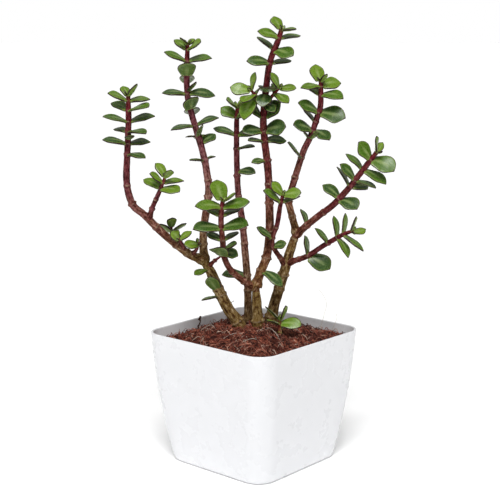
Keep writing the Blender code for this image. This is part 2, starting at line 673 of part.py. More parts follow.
def place_leaf(level, side, leaf, surroundings, ring_name):
    """The sections of a leaf, in the first posture that touches nothing."""
    across, toward, up, wide, *roll = leaf
    roll_degrees = roll[0] if roll else USUAL_ROLL
    wanted = plant_vector(across, toward, up) * LEAF_SIZE
    width = wide * MM * LEAF_SIZE
    outward = level.facing * side
    hinge = level.axis.cross(outward)
    for shortening in SHORTENINGS:
        for lift in LIFTS:
            for turn in TURNS:
                lifted = Matrix.Rotation(math.radians(-lift), 3, hinge) @ wanted
                vector = Matrix.Rotation(math.radians(turn), 3, level.axis) @ lifted * shortening
                if vector.normalized().dot(outward) < 0.05:
                    continue
                probe = leaf_loops(level, side, vector, width * shortening, roll_degrees, GAP)
                if surroundings.free(probe, ring_name):
                    return leaf_loops(level, side, vector, width * shortening, roll_degrees, 0.0), probe
    return leaf_loops(level, side, wanted * shortening, width * shortening, roll_degrees, 0.0), probe


def ring_loops(level, radius, rise):
    """The six corners of a level's loop at a rise along the stem."""
    return [level.corner(math.pi / 3 * i, radius, rise) for i in range(6)]


def twist_between(lower, upper):
    """How many sixths and what angle turn the lower level's corners into the upper level's."""
    angle = lower.facing.angle(upper.facing) if lower.facing.dot(upper.facing) < 0.9999 else 0.0
    if lower.facing.cross(upper.facing).dot(lower.axis) < 0:
        angle = -angle
    sixths = round(angle / (math.pi / 3))
    return sixths, angle - sixths * math.pi / 3


def wrap(bm, lower, upper, sixths, rest):
    """Joins two six-sided loops that are turned against each other, along the shorter diagonals."""
    for i in range(6):
        a, b = lower[i], lower[(i + 1) % 6]
        c, d = upper[(i - sixths + 1) % 6], upper[(i - sixths) % 6]
        if rest >= 0:
            bm.faces.new((a, b, d))
            bm.faces.new((b, c, d))
        else:
            bm.faces.new((a, b, c))
            bm.faces.new((a, c, d))


def build_leaf_node(name, levels, is_tip, placed, finish, parts):
    """A ring or a tip with its leaves, each a loft from two neighbouring sides of the ring to its blade."""
    bm = bmesh.new()
    half = COLLAR_HEIGHT / 2
    outer_rows = []
    for level in levels:
        low = [bm.verts.new(place) for place in ring_loops(level, level.outer, -half)]
        high = [bm.verts.new(place) for place in ring_loops(level, level.outer, half)]
        outer_rows.append((low, high))
    for number, (low, high) in enumerate(outer_rows):
        used = set()
        for side, loops in placed[number]:
            middle = 0 if side > 0 else 3
            before, after = (middle - 1) % 6, (middle + 1) % 6
            foot = [low[before], low[middle], low[after], high[after], high[middle], high[before]]
            if side * levels[number].facing.cross(loops[0][2] - loops[0][0]).dot(levels[number].axis) < 0:
                loops = [[loop[2], loop[1], loop[0], loop[5], loop[4], loop[3]] for loop in loops]
            rows = [foot, *[[bm.verts.new(place) for place in loop] for loop in loops]]
            cap_and_stack(bm, rows)
            used |= {before, middle}
        for i in range(6):
            if i not in used:
                bm.faces.new((low[i], low[(i + 1) % 6], high[(i + 1) % 6], high[i]))
    for number in range(len(levels) - 1):
        sixths, rest = twist_between(levels[number], levels[number + 1])
        wrap(bm, outer_rows[number][1], outer_rows[number + 1][0], sixths, rest)
    if is_tip:
        bm.faces.new(reversed(outer_rows[0][0]))
        last = levels[-1]
        bud = bm.verts.new(last.centre + last.axis * (half + TIP_BUD))
        top = outer_rows[-1][1]
        for i in range(6):
            bm.faces.new((top[i], top[(i + 1) % 6], bud))
    else:
        inner_rows = []
        for number, level in enumerate(levels):
            for rise in (-half, half):
                inner_rows.append([bm.verts.new(place) for place in ring_loops(level, level.inner, rise)])
        bridge(bm, outer_rows[0][0], inner_rows[0])
        bridge(bm, inner_rows[-1], outer_rows[-1][1])
        for number in range(len(levels)):
            bridge(bm, inner_rows[2 * number], inner_rows[2 * number + 1])
            if number + 1 < len(levels):
                sixths, rest = twist_between(levels[number], levels[number + 1])
                wrap(bm, inner_rows[2 * number + 1], inner_rows[2 * number + 2], sixths, rest)
    return object_from(bm, name, finish, parts)


def ring_probe(levels, is_tip, fat):
    """The solid outline of a node's rings and bud, which leaves of other nodes stay clear of."""
    bm = bmesh.new()
    places = []
    for level in levels:
        bud = TIP_BUD if is_tip and level is levels[-1] else 0.0
        rows = []
        for rise in (-COLLAR_HEIGHT / 2 - fat, COLLAR_HEIGHT / 2 + bud + fat):
            rows.append([bm.verts.new(place) for place in ring_loops(level, level.outer + fat, rise)])
            places += [vertex.co.copy() for vertex in rows[-1]]
        bridge(bm, *rows)
    tree = BVHTree.FromBMesh(bm)
    bm.free()
    return tree, bounds_of(places)


def build_leaves(parts, paths, solids):
    """Every leaf node, each leaf clear of the pot, the mix, the stems and the other leaves."""
    surroundings = Surroundings()
    for solid in solids:
        surroundings.add_object(solid)
    nodes = []
    for table, is_tip in ((TIPS, True), (RINGS, False)):
        for name, (stem, rings) in table.items():
            levels = [Level(paths[stem], height, leaves, is_tip) for height, leaves in sorted(rings)]
            nodes.append((name, levels, is_tip))
            surroundings.add(*ring_probe(levels, is_tip, GAP), name)
    for name, levels, is_tip in nodes:
        placed = []
        for level in levels:
            row = []
            for side, leaf in zip((1, -1), level.leaves):
                loops, probe = place_leaf(level, side, leaf, surroundings, name)
                reach = bounds_of([place for loop in probe for place in loop])
                surroundings.add(leaf_tree(loops), reach, f"{name} leaf")
                row.append((side, loops))
            placed.append(row)
        finish = "young_leaf" if is_tip else "leaf"
        build_leaf_node(name, levels, is_tip, placed, finish, parts)


def main():
    """Builds the pot, the stems, the mix around them and the leaves."""
    clear_scene()
    parts = new_collection("potted_jade_plant")
    cutters = new_collection("cutters")
    paths = grow_paths()
    pot = build_pot(parts, cutters)
    mix = build_mix(parts, cutters, paths)
    stems = build_stems(parts, paths)
    build_leaves(parts, paths, [pot, mix, *stems])


main()
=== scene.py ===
"""Looks of the potted jade plant: a glossy pot, coir potting mix, grown stems and thick leaves.

Lengths are metres and +Z is up, in the frame of the CAD model. The plant itself is described in a frame of
its own, in millimetres: its origin is the crown of the mix, "across" runs along the broad side of the plant,
"toward" runs out over the pot's front corner, and heights go up.
"""

import logging
import math
import random
from dataclasses import dataclass, field
from enum import Enum

import bpy
import numpy as np
from mathutils import Matrix, Vector, kdtree, noise


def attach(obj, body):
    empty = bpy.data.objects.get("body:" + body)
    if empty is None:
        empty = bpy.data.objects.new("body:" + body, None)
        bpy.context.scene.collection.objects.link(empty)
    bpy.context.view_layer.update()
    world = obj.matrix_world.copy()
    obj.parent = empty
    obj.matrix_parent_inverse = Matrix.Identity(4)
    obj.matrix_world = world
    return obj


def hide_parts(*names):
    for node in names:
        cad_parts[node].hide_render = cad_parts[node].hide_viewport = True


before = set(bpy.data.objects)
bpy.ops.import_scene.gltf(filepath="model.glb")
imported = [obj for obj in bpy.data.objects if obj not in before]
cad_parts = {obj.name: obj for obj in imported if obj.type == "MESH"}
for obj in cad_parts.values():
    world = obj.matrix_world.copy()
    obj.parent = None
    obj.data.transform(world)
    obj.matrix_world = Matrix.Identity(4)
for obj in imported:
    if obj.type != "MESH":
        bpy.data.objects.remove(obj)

LOG = logging.getLogger("jade_plant")
MM = 0.001
BODY = "root"
CROWN_HEIGHT = 0.108

PLANT_TURN = math.radians(41.0)
ACROSS = Vector((math.cos(PLANT_TURN), math.sin(PLANT_TURN), 0.0))
TOWARD = Vector((math.sin(PLANT_TURN), -math.cos(PLANT_TURN), 0.0))
UP = Vector((0.0, 0.0, 1.0))

Colour = tuple[float, float, float]
Place = tuple[float, float, float]
Socket = bpy.types.NodeSocket


class Slot(Enum):
    """The record's material slots."""

    POT = "pot"
    MIX = "potting_mix"
    STEM = "stem"
    LEAF = "leaf"
    YOUNG_LEAF = "young_leaf"


# ---------------------------------------------------------------- the plant's description

# Each stem: (the stem that it grows from and the height it leaves at, thickness at its foot and at its end,
# the points that it grows through as (across, toward, height)). A stem from the mix has no parent.
STEMS: dict[str, tuple[str | None, float, float, float, list[Place]]] = {
    "left_trunk": (None, 0, 9.8, 7.8, [(-8, 3, -12), (-12, 3, 2), (-20, 4, 14), (-27, 4, 28), (-34, 3, 44),
                                       (-41, 2, 56)]),
    "left_branch": ("left_trunk", 54, 6.6, 4.3, [(-51, 5, 59), (-69, 11, 75), (-84, 15, 91), (-93, 17, 100),
                                                 (-97, 18, 117), (-96, 17, 142), (-95, 15, 164),
                                                 (-95, 14, 184)]),
    "left_side_shoot": ("left_branch", 88, 4.0, 3.2, [(-77, 19, 99), (-71, 24, 112), (-67, 27, 122)]),
    "left_low_sprig": ("left_branch", 66, 2.8, 2.6, [(-64, 3, 71), (-65, -3, 80)]),
    "left_fork_sprig": ("left_branch", 62, 2.8, 2.6, [(-55, 10, 66), (-58, 14, 73)]),
    "left_bare_twig": ("left_branch", 58, 2.8, 2.6, [(-45, 8, 63), (-43, 13, 70)]),
    "left_upright": ("left_trunk", 53, 6.6, 4.2, [(-40, -5, 74), (-36, -11, 104), (-37, -14, 119),
                                                  (-41, -18, 138), (-47, -21, 158), (-52, -23, 177),
                                                  (-53, -24, 196), (-52, -24, 221)]),
    "dry_twig": ("left_trunk", 48, 3.0, 2.2, [(-32, 6, 53), (-26, 10, 58)]),
    "centre_trunk": (None, 0, 8.8, 7.4, [(5, 3, -12), (3, 4, 4), (2, 4, 20), (1, 4, 35)]),
    "mid_shoot": ("centre_trunk", 32, 5.2, 4.0, [(-8, 9, 38), (-18, 14, 48), (-23, 18, 59), (-24, 21, 71),
                                                 (-25, 22, 83), (-25, 23, 95), (-23, 24, 108)]),
    "tall_shoot": ("centre_trunk", 33, 7.2, 4.4, [(5, 2, 44), (10, 0, 57), (12, -2, 74), (12, -4, 91),
                                                  (11, -6, 120), (8, -7, 147), (7, -6, 163), (9, -4, 186),
                                                  (12, 0, 207), (18, 5, 223), (22, 8, 236)]),
    "tall_left_twig": ("tall_shoot", 174, 2.8, 2.6, [(4, -3, 178), (-3, -1, 186)]),
    "tall_right_twig": ("tall_shoot", 175, 2.8, 2.6, [(12, -3, 179), (19, 0, 187)]),
    "back_stem": (None, 0, 6.6, 4.0, [(-5, -14, -12), (-5, -14, 26), (-6, -15, 42), (-9, -19, 76),
                                      (-13, -24, 106), (-14, -28, 137), (-14, -30, 157), (-13, -30, 175)]),
    "right_trunk": (None, 0, 9.4, 6.8, [(12, -12, -12), (15, -12, 10), (22, -7, 36), (29, -4, 62),
                                        (34, -4, 76)]),
    "right_inner_shoot": ("right_trunk", 48, 4.0, 3.6, [(21, -2, 54), (14, 6, 68), (18, 9, 84), (20, 12, 98),
                                                        (23, 14, 110)]),
    "right_upright": ("right_trunk", 74, 5.8, 4.3, [(30, -8, 86), (27, -12, 99), (30, -15, 109),
                                                    (34, -18, 122), (39, -20, 137), (45, -21, 150),
                                                    (49, -22, 162), (52, -22, 173), (52, -21, 194)]),
    "right_branch": ("right_trunk", 73, 5.6, 4.2, [(48, 2, 87), (61, 7, 98), (72, 11, 111), (80, 14, 122),
                                                   (87, 16, 132), (95, 18, 143)]),
    "right_low_branch": ("right_trunk", 50, 4.6, 3.5, [(41, 4, 57), (53, 14, 67), (61, 20, 73), (68, 25, 78),
                                                       (76, 30, 82)]),
    "sprout": (None, 0, 3.2, 2.8, [(20, 18, -10), (20, 18, 3), (20, 18, 10)]),
}

# What one grown piece is made of: its foot stem and the stems that branch from it
GROWN_PIECES: dict[str, tuple[str, ...]] = {
    "left_stems": ("left_trunk", "left_branch", "left_side_shoot", "left_low_sprig", "left_fork_sprig",
                   "left_bare_twig", "left_upright", "dry_twig"),
    "centre_stems": ("centre_trunk", "mid_shoot", "tall_shoot", "tall_left_twig", "tall_right_twig"),
    "back_stem": ("back_stem",),
    "right_stems": ("right_trunk", "right_inner_shoot", "right_upright", "right_branch", "right_low_branch"),
    "sprout_stem": ("sprout",),
}

# The leaves of each leaf node: its stem, and for each ring on that stem the ring's height and its leaves.
# A leaf is (across, toward, up) from its foot to its end, then its width, then how many degrees its face
# turns to the light if that isn't the usual turn.
LeafRow = tuple[float, ...]
LeafTable = dict[str, tuple[str, list[tuple[float, list[LeafRow]]]]]
TIPS: LeafTable = {
    "left_branch_tip": ("left_branch", [(178, [(-13, 2, 6, 12), (14, -2, 1, 11)]),
                                        (182, [(6, 4, 9, 9), (-3, -6, 7, 8)])]),
    "left_side_shoot_tip": ("left_side_shoot", [(113, [(-12, -5, 5, 10), (13, 6, -1, 12)]),
                                                (117.5, [(-8, 5, 7, 8), (14, -5, 1, 9, 0)]),
                                                (122, [(-7, -4, 9, 9), (4, 6, 7, 7)])]),
    "left_low_sprig_tip": ("left_low_sprig", [(76, [(-9, 3, 6, 9, 10), (10, -3, 6, 9, 10)]),
                                              (79.5, [(1, 5, 7, 8), (0, -6, 6, 7)])]),
    "left_fork_sprig_tip": ("left_fork_sprig", [(72, [(-4, 3, 8, 9), (8, -2, 6, 8, 10)])]),
    "left_bare_twig_tip": ("left_bare_twig", [(68, [(-9, 7, 1, 9, 10)])]),
    "left_upright_tip": ("left_upright", [(216, [(9, 5, 6, 13, 45), (-9, -5, 7, 9)]),
                                          (220, [(4, -6, 4, 6), (-4, 5, 5, 6)])]),
    "mid_shoot_tip": ("mid_shoot", [(103.5, [(-3, -5, 15, 16), (8, 4, 7, 9)])]),
    "tall_shoot_tip": ("tall_shoot", [(225, [(-14, 3, 4, 11), (14, -3, 2, 10, 0)]),
                                      (231, [(9, 4, 1, 8, 10), (-4, -3, 9, 10)])]),
    "tall_left_twig_tip": ("tall_left_twig", [(182, [(-9, 8, -5, 12, 40), (1, -10, 1, 8)]),
                                              (185.5, [(-15, -1, 3, 12, 40), (2, 3, 13, 9)])]),
    "tall_right_twig_tip": ("tall_right_twig", [(183, [(10, 7, -6, 10, 40), (0, -8, 6, 6)]),
                                                (187, [(12, 1, 1, 8), (-6, 4, 11, 10)])]),
    "back_stem_tip": ("back_stem", [(163, [(-11, -3, 7, 12, 45), (7, 9, 3, 13, 45)]),
                                    (171, [(-7, 5, 6, 11, 40), (6, -5, 6, 8)])]),
    "right_inner_shoot_tip": ("right_inner_shoot", [(101, [(-12, 3, 9, 10), (13, -6, 4, 8, 0)]),
                                                    (106.5, [(-7, 2, 10, 10, 45), (12, 4, 3, 12, 50)])]),
    "right_upright_tip": ("right_upright", [(187.5, [(-14, 6, -1, 10), (14, -4, 2, 14, 45)]),
                                            (191.5, [(-3, -3, 13, 13), (3, 6, 6, 7)])]),
    "right_branch_tip": ("right_branch", [(134, [(-8, 3, 12, 13, 55), (15, 6, -7, 16, 60)]),
                                          (140, [(0, 4, 12, 9, 40), (4, -6, 7, 6)])]),
    "right_low_branch_tip": ("right_low_branch", [(78, [(2, -3, 14, 7, 0), (14, 6, -10, 8, 0)]),
                                                  (81, [(10, -4, 2, 6, 0), (4, 4, 11, 6, 0)])]),
    "sprout_tip": ("sprout", [(6, [(-9, 4, 4, 8, 0), (15, 4, -1, 12, 45)]),
                              (9.5, [(-10, 2, 11, 6, 0), (3, 2, 12, 7, 0)])]),
}
RINGS: LeafTable = {
    "left_branch_leaves_4": ("left_branch", [(171, [(-12, -7, 5, 11), (14, 7, 3, 14)])]),
    "left_branch_leaves_3": ("left_branch", [(162.5, [(-16, 5, 4, 12), (17, -4, 4, 12)])]),
    "left_branch_leaves_2": ("left_branch", [(155, [(-10, -8, 1, 9), (12, 8, -1, 11)])]),
    "left_branch_leaves_1": ("left_branch", [(146, [(-16, 3, 3, 12), (14, -4, 1, 11)]),
                                             (138, [(12, 7, -2, 10)])]),
    "left_upright_leaves_6": ("left_upright", [(207, [(-15, 3, 7, 12), (17, -3, 2, 13)])]),
    "left_upright_leaves_5": ("left_upright", [(196, [(0, 9, 10, 15), (-1, -12, -8, 13)])]),
    "left_upright_leaves_4": ("left_upright", [(181.5, [(-17, 2, 1, 12), (19, -2, -2, 14, 35)])]),
    "left_upright_leaves_3": ("left_upright", [(170, [(1, 9, 9, 14), (2, -12, -6, 13)])]),
    "left_upright_leaves_2": ("left_upright", [(157, [(-16, 2, -3, 12), (16, -3, 5, 12)]),
                                               (149, [(4, 5, 9, 8), (8, -11, -6, 13, 40)])]),
    "left_upright_leaves_1": ("left_upright", [(130, [(-9, 6, 1, 7)])]),
    "mid_shoot_leaves_4": ("mid_shoot", [(98.5, [(-18, 6, 1, 13, 30), (19, 5, 5, 14, 35)])]),
    "mid_shoot_leaves_3": ("mid_shoot", [(92, [(-8, -9, 4, 11, 0), (11, -8, 4, 11, 0)])]),
    "mid_shoot_leaves_2": ("mid_shoot", [(82, [(-19, 5, 0, 13, 30), (18, 6, 3, 14, 35)])]),
    "mid_shoot_leaves_1": ("mid_shoot", [(73, [(-10, -6, 4, 10, 10), (9, -6, 5, 10, 0)]),
                                         (61, [(-2, 10, 9, 15, 40), (9, -2, -3, 10, 40)])]),
    "tall_shoot_leaves_6": ("tall_shoot", [(216, [(-11, -5, 8, 10, 0), (12, 8, -3, 14, 45)])]),
    "tall_shoot_leaves_5": ("tall_shoot", [(206, [(-15, 4, 1, 12, 30), (14, -4, 2, 10, 0)])]),
    "tall_shoot_leaves_4": ("tall_shoot", [(185, [(2, 12, 3, 15), (0, -13, 2, 12)])]),
    "tall_shoot_leaves_3": ("tall_shoot", [(165, [(10, 3, 11, 14, 50), (-9, 5, 9, 12, 50)]),
                                           (154, [(14, 6, 3, 15, 60), (-13, 6, -1, 12, 50)])]),
    "tall_shoot_leaves_2": ("tall_shoot", [(146, [(14, -5, -1, 11, 40), (-10, 4, 1, 8)])]),
    "tall_shoot_leaves_1": ("tall_shoot", [(45, [(13, 8, -10, 11, 50)])]),
    "back_stem_leaves_3": ("back_stem", [(149, [(-16, -3, 5, 12), (16, 3, 2, 13, 45)])]),
    "back_stem_leaves_2": ("back_stem", [(138, [(12, 5, 2, 8)])]),
    "back_stem_leaves_1": ("back_stem", [(38, [(-17, -2, 0, 12, 35)])]),
    "right_inner_shoot_leaves": ("right_inner_shoot", [(72, [(-10, 4, 9, 9)])]),
    "right_upright_leaves_5": ("right_upright", [(181, [(-8, -8, 7, 10, 10), (15, 5, -3, 13, 35)])]),
    "right_upright_leaves_4": ("right_upright", [(167, [(-14, 5, 7, 13, 45), (18, 6, -3, 17, 60)])]),
    "right_upright_leaves_3": ("right_upright", [(160, [(-7, -7, 9, 9, 0)])]),
    "right_upright_leaves_2": ("right_upright", [(153, [(-13, 6, 4, 14, 45), (10, 7, -6, 14, 45)])]),
    "right_upright_leaves_1": ("right_upright", [(132, [(-9, 9, 12, 11, 45)])]),
    "right_branch_leaves_4": ("right_branch", [(126, [(-11, -4, 10, 10, 20), (15, 4, -9, 11, 35)])]),
    "right_branch_leaves_3": ("right_branch", [(118, [(-10, 5, 11, 10, 45), (13, 5, -4, 9, 10)]),
                                               (113, [(-8, -4, 13, 9, 0), (12, -7, 1, 9, 10)])]),
    "right_branch_leaves_2": ("right_branch", [(103, [(-11, -4, 8, 11, 40), (11, 8, -5, 14, 60)])]),
    "right_branch_leaves_1": ("right_branch", [(81, [(-4, -9, 9, 8, 0)])]),
    "right_low_branch_leaves_3": ("right_low_branch", [(75, [(-2, -4, 14, 8, 0), (7, 4, -13, 9, 10)])]),
    "right_low_branch_leaves_2": ("right_low_branch", [(70, [(-9, 2, 10, 8, 0)])]),
    "right_low_branch_leaves_1": ("right_low_branch", [(58, [(-2, 3, 14, 8, 0), (15, 5, -8, 14, 60)])]),
    "left_trunk_leaves": ("left_trunk", [(26, [(-11, 5, -1, 8, 10)]), (31, [(-6, 5, 12, 11, 45)])]),
}
# Each stalk or root that stands out of the mix: (tint, half-thickness in millimetres at its start and at its
# end, the points that it passes as (across, toward, height above the mix)).
STRAYS: list[tuple[float, float, float, list[Place]]] = [
    (0.02, 0.70, 0.40, [(-45, -25, -3), (-45.5, -25, 4), (-44, -26, 8), (-44.5, -26, 12)]),
    (0.02, 0.95, 0.80, [(-45.2, -26, 9.5), (-44.2, -26, 11), (-43.6, -26, 12.5)]),
    (0.10, 0.45, 0.20, [(-20, -14, -3), (-22, -14, 9), (-20, -13, 17), (-16, -13, 20)]),
    (0.98, 0.16, 0.08, [(52, -10, -2), (56, -11, 14), (58, -12, 24), (55, -12, 31), (51, -11, 35)]),
    (0.96, 0.20, 0.10, [(60, -6, -2), (64, -5, 8), (66, -5, 14), (65, -6, 18)]),
    (0.97, 0.22, 0.12, [(8, 14, 1), (12, 18, 5), (17, 22, 3), (20, 28, 1), (19, 34, 0)]),
    (0.95, 0.25, 0.12, [(-8, 20, 1), (-13, 23, 4), (-19, 22, 3), (-26, 25, 0)]),
    (0.97, 0.20, 0.10, [(22, 8, 2), (28, 6, 6), (33, 8, 4), (38, 7, 0)]),
    (0.93, 0.25, 0.12, [(4, 34, 1), (-2, 38, 3), (-9, 37, 2), (-12, 42, 0)]),
    (0.96, 0.20, 0.12, [(-30, 4, 0), (-34, 2, 4), (-40, 3, 3), (-44, 0, 0)]),
]
# The small single leaves, by the node that they grow on: (the stem, the height along it, the leaf's row).
LEAFLETS: dict[str, list[tuple[str, float, LeafRow]]] = {
    "left_stems": [("left_upright", 184, (5, 4, 7, 8, 20)), ("left_upright", 149, (-7, 3, 0, 3)),
                   ("left_upright", 143, (9, -5, 6, 12, 45)), ("left_upright", 131, (6, -4, 1, 5)),
                   ("left_trunk", 47, (-8, 6, -2, 8, 50)), ("left_branch", 150, (3, 9, 2, 8, 20))],
    "centre_stems": [("tall_shoot", 131, (-9, 4, -1, 7, 50)), ("mid_shoot", 66, (8, 4, 5, 8, 20)),
                     ("tall_left_twig", 180, (-9, 6, -16, 13, 50)), ("tall_shoot", 174, (6, 8, -5, 10, 40)),
                     ("tall_shoot", 182, (-2, 9, -9, 13, 0))],
    "right_stems": [("right_inner_shoot", 65, (8, 4, 3, 8, 40)), ("right_upright", 147, (-4, 4, 6, 5, 10)),
                    ("right_upright", 147, (5, 4, 6, 5, 10))],
    "back_stem": [("back_stem", 120, (12, 4, -1, 9, 50)), ("back_stem", 165, (10, 6, 11, 14, 50))],
}


# ---------------------------------------------------------------- finishes


class Bench:
    """A material under construction, with short ways to add the nodes that the finishes share."""

    def __init__(self, name: str) -> None:
        """Starts a material.

        Args:
            name: The material's name.
        """
        self.material = bpy.data.materials.new(name)
        self.material.use_nodes = True
        self.tree = self.material.node_tree
        self.shader = self.tree.nodes["Principled BSDF"]
        self.place = self.tree.nodes.new("ShaderNodeTexCoord").outputs["Object"]

    def give(self, socket: Socket, value: "Socket | float | Colour") -> None:
        """Links a socket to another one, or sets its value.

        Args:
            socket: The input to fill.
            value: An output to link, or a number or colour to set.
        """
        if isinstance(value, bpy.types.NodeSocket):
            self.tree.links.new(value, socket)
        elif isinstance(value, tuple) and len(value) == 3 and socket.type == "RGBA":
            socket.default_value = (*value, 1.0)
        else:
            socket.default_value = value

    def number(self, name: str) -> Socket:
        """The number that each point of the mesh holds under a name."""
        made = self.tree.nodes.new("ShaderNodeAttribute")
        made.attribute_name = name
        return made.outputs["Fac"]

    def vector(self, name: str) -> Socket:
        """The vector that each point of the mesh holds under a name."""
        made = self.tree.nodes.new("ShaderNodeAttribute")
        made.attribute_name = name
        return made.outputs["Vector"]

    def scaled(self, where: Socket, scale: Place) -> Socket:
        """Coordinates stretched by a factor along each axis."""
        made = self.tree.nodes.new("ShaderNodeMapping")
        made.inputs["Scale"].default_value = scale
        self.give(made.inputs["Vector"], where)
        return made.outputs["Vector"]

    def cloud(self, scale: float, detail: float = 4.0, rough: float = 0.55,
              where: Socket | None = None) -> Socket:
        """A noise map.

        Args:
            scale: How many features there are to a unit of the coordinates.
            detail: How many finer layers are added.
            rough: How strong the finer layers are.
            where: The coordinates, if they aren't the object's own.

        Returns:
            The map's value, from 0 to 1.
        """
        made = self.tree.nodes.new("ShaderNodeTexNoise")
        made.inputs["Scale"].default_value = scale
        made.inputs["Detail"].default_value = detail
        made.inputs["Roughness"].default_value = rough
        self.give(made.inputs["Vector"], self.place if where is None else where)
        return made.outputs["Fac"]

    def cells(self, scale: float, where: Socket | None = None) -> Socket:
        """The distance to the nearest of many scattered points, for spots and pores."""
        made = self.tree.nodes.new("ShaderNodeTexVoronoi")
        made.inputs["Scale"].default_value = scale
        self.give(made.inputs["Vector"], self.place if where is None else where)
        return made.outputs["Distance"]

    def ramp(self, value: Socket, stops: list[tuple[float, Colour]]) -> Socket:
        """Colours by a value.

        Args:
            value: The value to look up, from 0 to 1.
            stops: Each place on the ramp with its colour.

        Returns:
            The colour.
        """
        made = self.tree.nodes.new("ShaderNodeValToRGB")
        elements = made.color_ramp.elements
        while len(elements) < len(stops):
            elements.new(0.5)
        for element, (place, colour) in zip(elements, stops):
            element.position = place
            element.color = (*colour, 1.0)
        self.give(made.inputs["Fac"], value)
        return made.outputs["Color"]

    def span(self, value: Socket, low: float, high: float, start: float = 0.0, stop: float = 1.0) -> Socket:
        """A value carried from one range to another, smooth at both ends.

        Args:
            value: The value.
            low: Where it starts.
            high: Where it ends.
            start: What low becomes.
            stop: What high becomes.

        Returns:
            The new value.
        """
        made = self.tree.nodes.new("ShaderNodeMapRange")
        made.interpolation_type = "SMOOTHSTEP"
        made.inputs["From Min"].default_value = low
        made.inputs["From Max"].default_value = high
        made.inputs["To Min"].default_value = start
        made.inputs["To Max"].default_value = stop
        self.give(made.inputs["Value"], value)
        return made.outputs["Result"]

    def sums(self, how: str, first: "Socket | float", second: "Socket | float") -> Socket:
        """Two numbers put together by a math node, and kept from 0 to 1."""
        made = self.tree.nodes.new("ShaderNodeMath")
        made.operation = how
        made.use_clamp = True
        self.give(made.inputs[0], first)
        self.give(made.inputs[1], second)
        return made.outputs[0]

    def blend(self, share: "Socket | float", first: "Socket | Colour", second: "Socket | Colour",
              how: str = "MIX") -> Socket:
        """Two colours mixed.

        Args:
            share: How much of the second colour there is.
            first: The colour underneath.
            second: The colour on top.
            how: The way they mix.

        Returns:
            The mixed colour.
        """
        made = self.tree.nodes.new("ShaderNodeMix")
        made.data_type = "RGBA"
        made.blend_type = how
        self.give(made.inputs[0], share)
        self.give(made.inputs[6], first)
        self.give(made.inputs[7], second)
        return made.outputs[2]

    def relief(self, layers: list[tuple[Socket, float]]) -> None:
        """Gives the shader its fine relief.

        Args:
            layers: Height maps, each with the depth of its relief in metres.
        """
        normal: Socket | None = None
        for height, depth in layers:
            made = self.tree.nodes.new("ShaderNodeBump")
            made.inputs["Strength"].default_value = 1.0
            made.inputs["Distance"].default_value = depth
            self.give(made.inputs["Height"], height)
            if normal is not None:
                self.give(made.inputs["Normal"], normal)
            normal = made.outputs["Normal"]
        if normal is not None:
            self.give(self.shader.inputs["Normal"], normal)

    def dress(self, colour: Socket, roughness: Socket, **settings: float) -> bpy.types.Material:
        """Fills in the shader.

        Args:
            colour: The surface's colour.
            roughness: How dull it is, from 0 to 1.
            **settings: Plain numbers for other sockets, with _ for each space in their names.

        Returns:
            The finished material.
        """
        self.give(self.shader.inputs["Base Color"], colour)
        self.give(self.shader.inputs["Roughness"], roughness)
        for name, value in settings.items():
            self.shader.inputs[name.replace("_", " ")].default_value = value
        return self.material


@dataclass(frozen=True)
class MouldedPlastic:
    """Glossy moulded plastic: faint flow marks, a soft orange-peel relief and a few faint scuffs."""

    colour: Colour = (0.775, 0.782, 0.80)
    shade: Colour = (0.76, 0.768, 0.788)
    scuff: Colour = (0.755, 0.76, 0.77)
    gloss: float = 0.24

    def material(self) -> bpy.types.Material:
        """Makes the material."""
        bench = Bench("moulded_plastic")
        flow = bench.cloud(22.0, 3.0, 0.5)
        colour = bench.blend(bench.span(flow, 0.30, 0.80, 0.0, 0.20), self.colour, self.shade)
        grit = bench.cloud(900.0, 2.0, 0.6)
        marks = bench.sums("MULTIPLY", bench.span(grit, 0.64, 0.74), bench.span(flow, 0.5, 0.62, 0.0, 0.08))
        colour = bench.blend(marks, colour, self.scuff)
        roughness = bench.span(bench.cloud(60.0, 5.0, 0.6), 0.3, 0.75, self.gloss, self.gloss + 0.10)
        bench.relief([(bench.cloud(420.0, 2.0, 0.5), 0.000006), (bench.cloud(20.0, 1.0, 0.4), 0.00002)])
        return bench.dress(colour, roughness, Coat_Weight=0.20, Coat_Roughness=0.15)


@dataclass(frozen=True)
class CoirFill:
    """The body of the mix: dark coir dust between the strands, coloured darker still as painted shade for the
    gaps between them.
    """

    dark: Colour = (0.014, 0.004, 0.003)
    middle: Colour = (0.070, 0.018, 0.011)
    light: Colour = (0.200, 0.060, 0.035)

    def material(self) -> bpy.types.Material:
        """Makes the material."""
        bench = Bench("coir_fill")
        grain = bench.cloud(850.0, 6.0, 0.7)
        clumps = bench.cloud(160.0, 4.0, 0.6)
        value = bench.sums("MULTIPLY", bench.span(grain, 0.25, 0.75), bench.span(clumps, 0.2, 0.7, 0.35, 1.0))
        # Painted shade: the ramp runs nearly to black, so the gaps between the strands read as shaded.
        colour = bench.ramp(value, [(0.0, self.dark), (0.45, self.middle), (1.0, self.light)])
        bench.relief([(grain, 0.0007), (bench.cloud(2600.0, 3.0, 0.6), 0.0002)])
        return bench.dress(colour, bench.span(clumps, 0.3, 0.7, 0.82, 0.98), Specular_IOR_Level=0.25)


@dataclass(frozen=True)
class CoirStrand:
    """Coir fibres and chips: each has a tint of its own, from nearly black through red-brown to straw."""

    name: str
    stops: tuple[tuple[float, Colour], ...]
    grain_scale: Place = (900.0, 900.0, 900.0)
    shadow: Colour = (0.035, 0.010, 0.006)

    def material(self) -> bpy.types.Material:
        """Makes the material."""
        bench = Bench(self.name)
        tint = bench.number("tint")
        base = bench.ramp(tint, list(self.stops))
        grain = bench.cloud(1.0, 4.0, 0.65, bench.scaled(bench.place, self.grain_scale))
        colour = bench.blend(bench.span(grain, 0.35, 0.7, 0.0, 0.55), base, self.shadow)
        bench.relief([(grain, 0.00015)])
        return bench.dress(colour, bench.span(grain, 0.3, 0.8, 0.62, 0.9), Specular_IOR_Level=0.3)


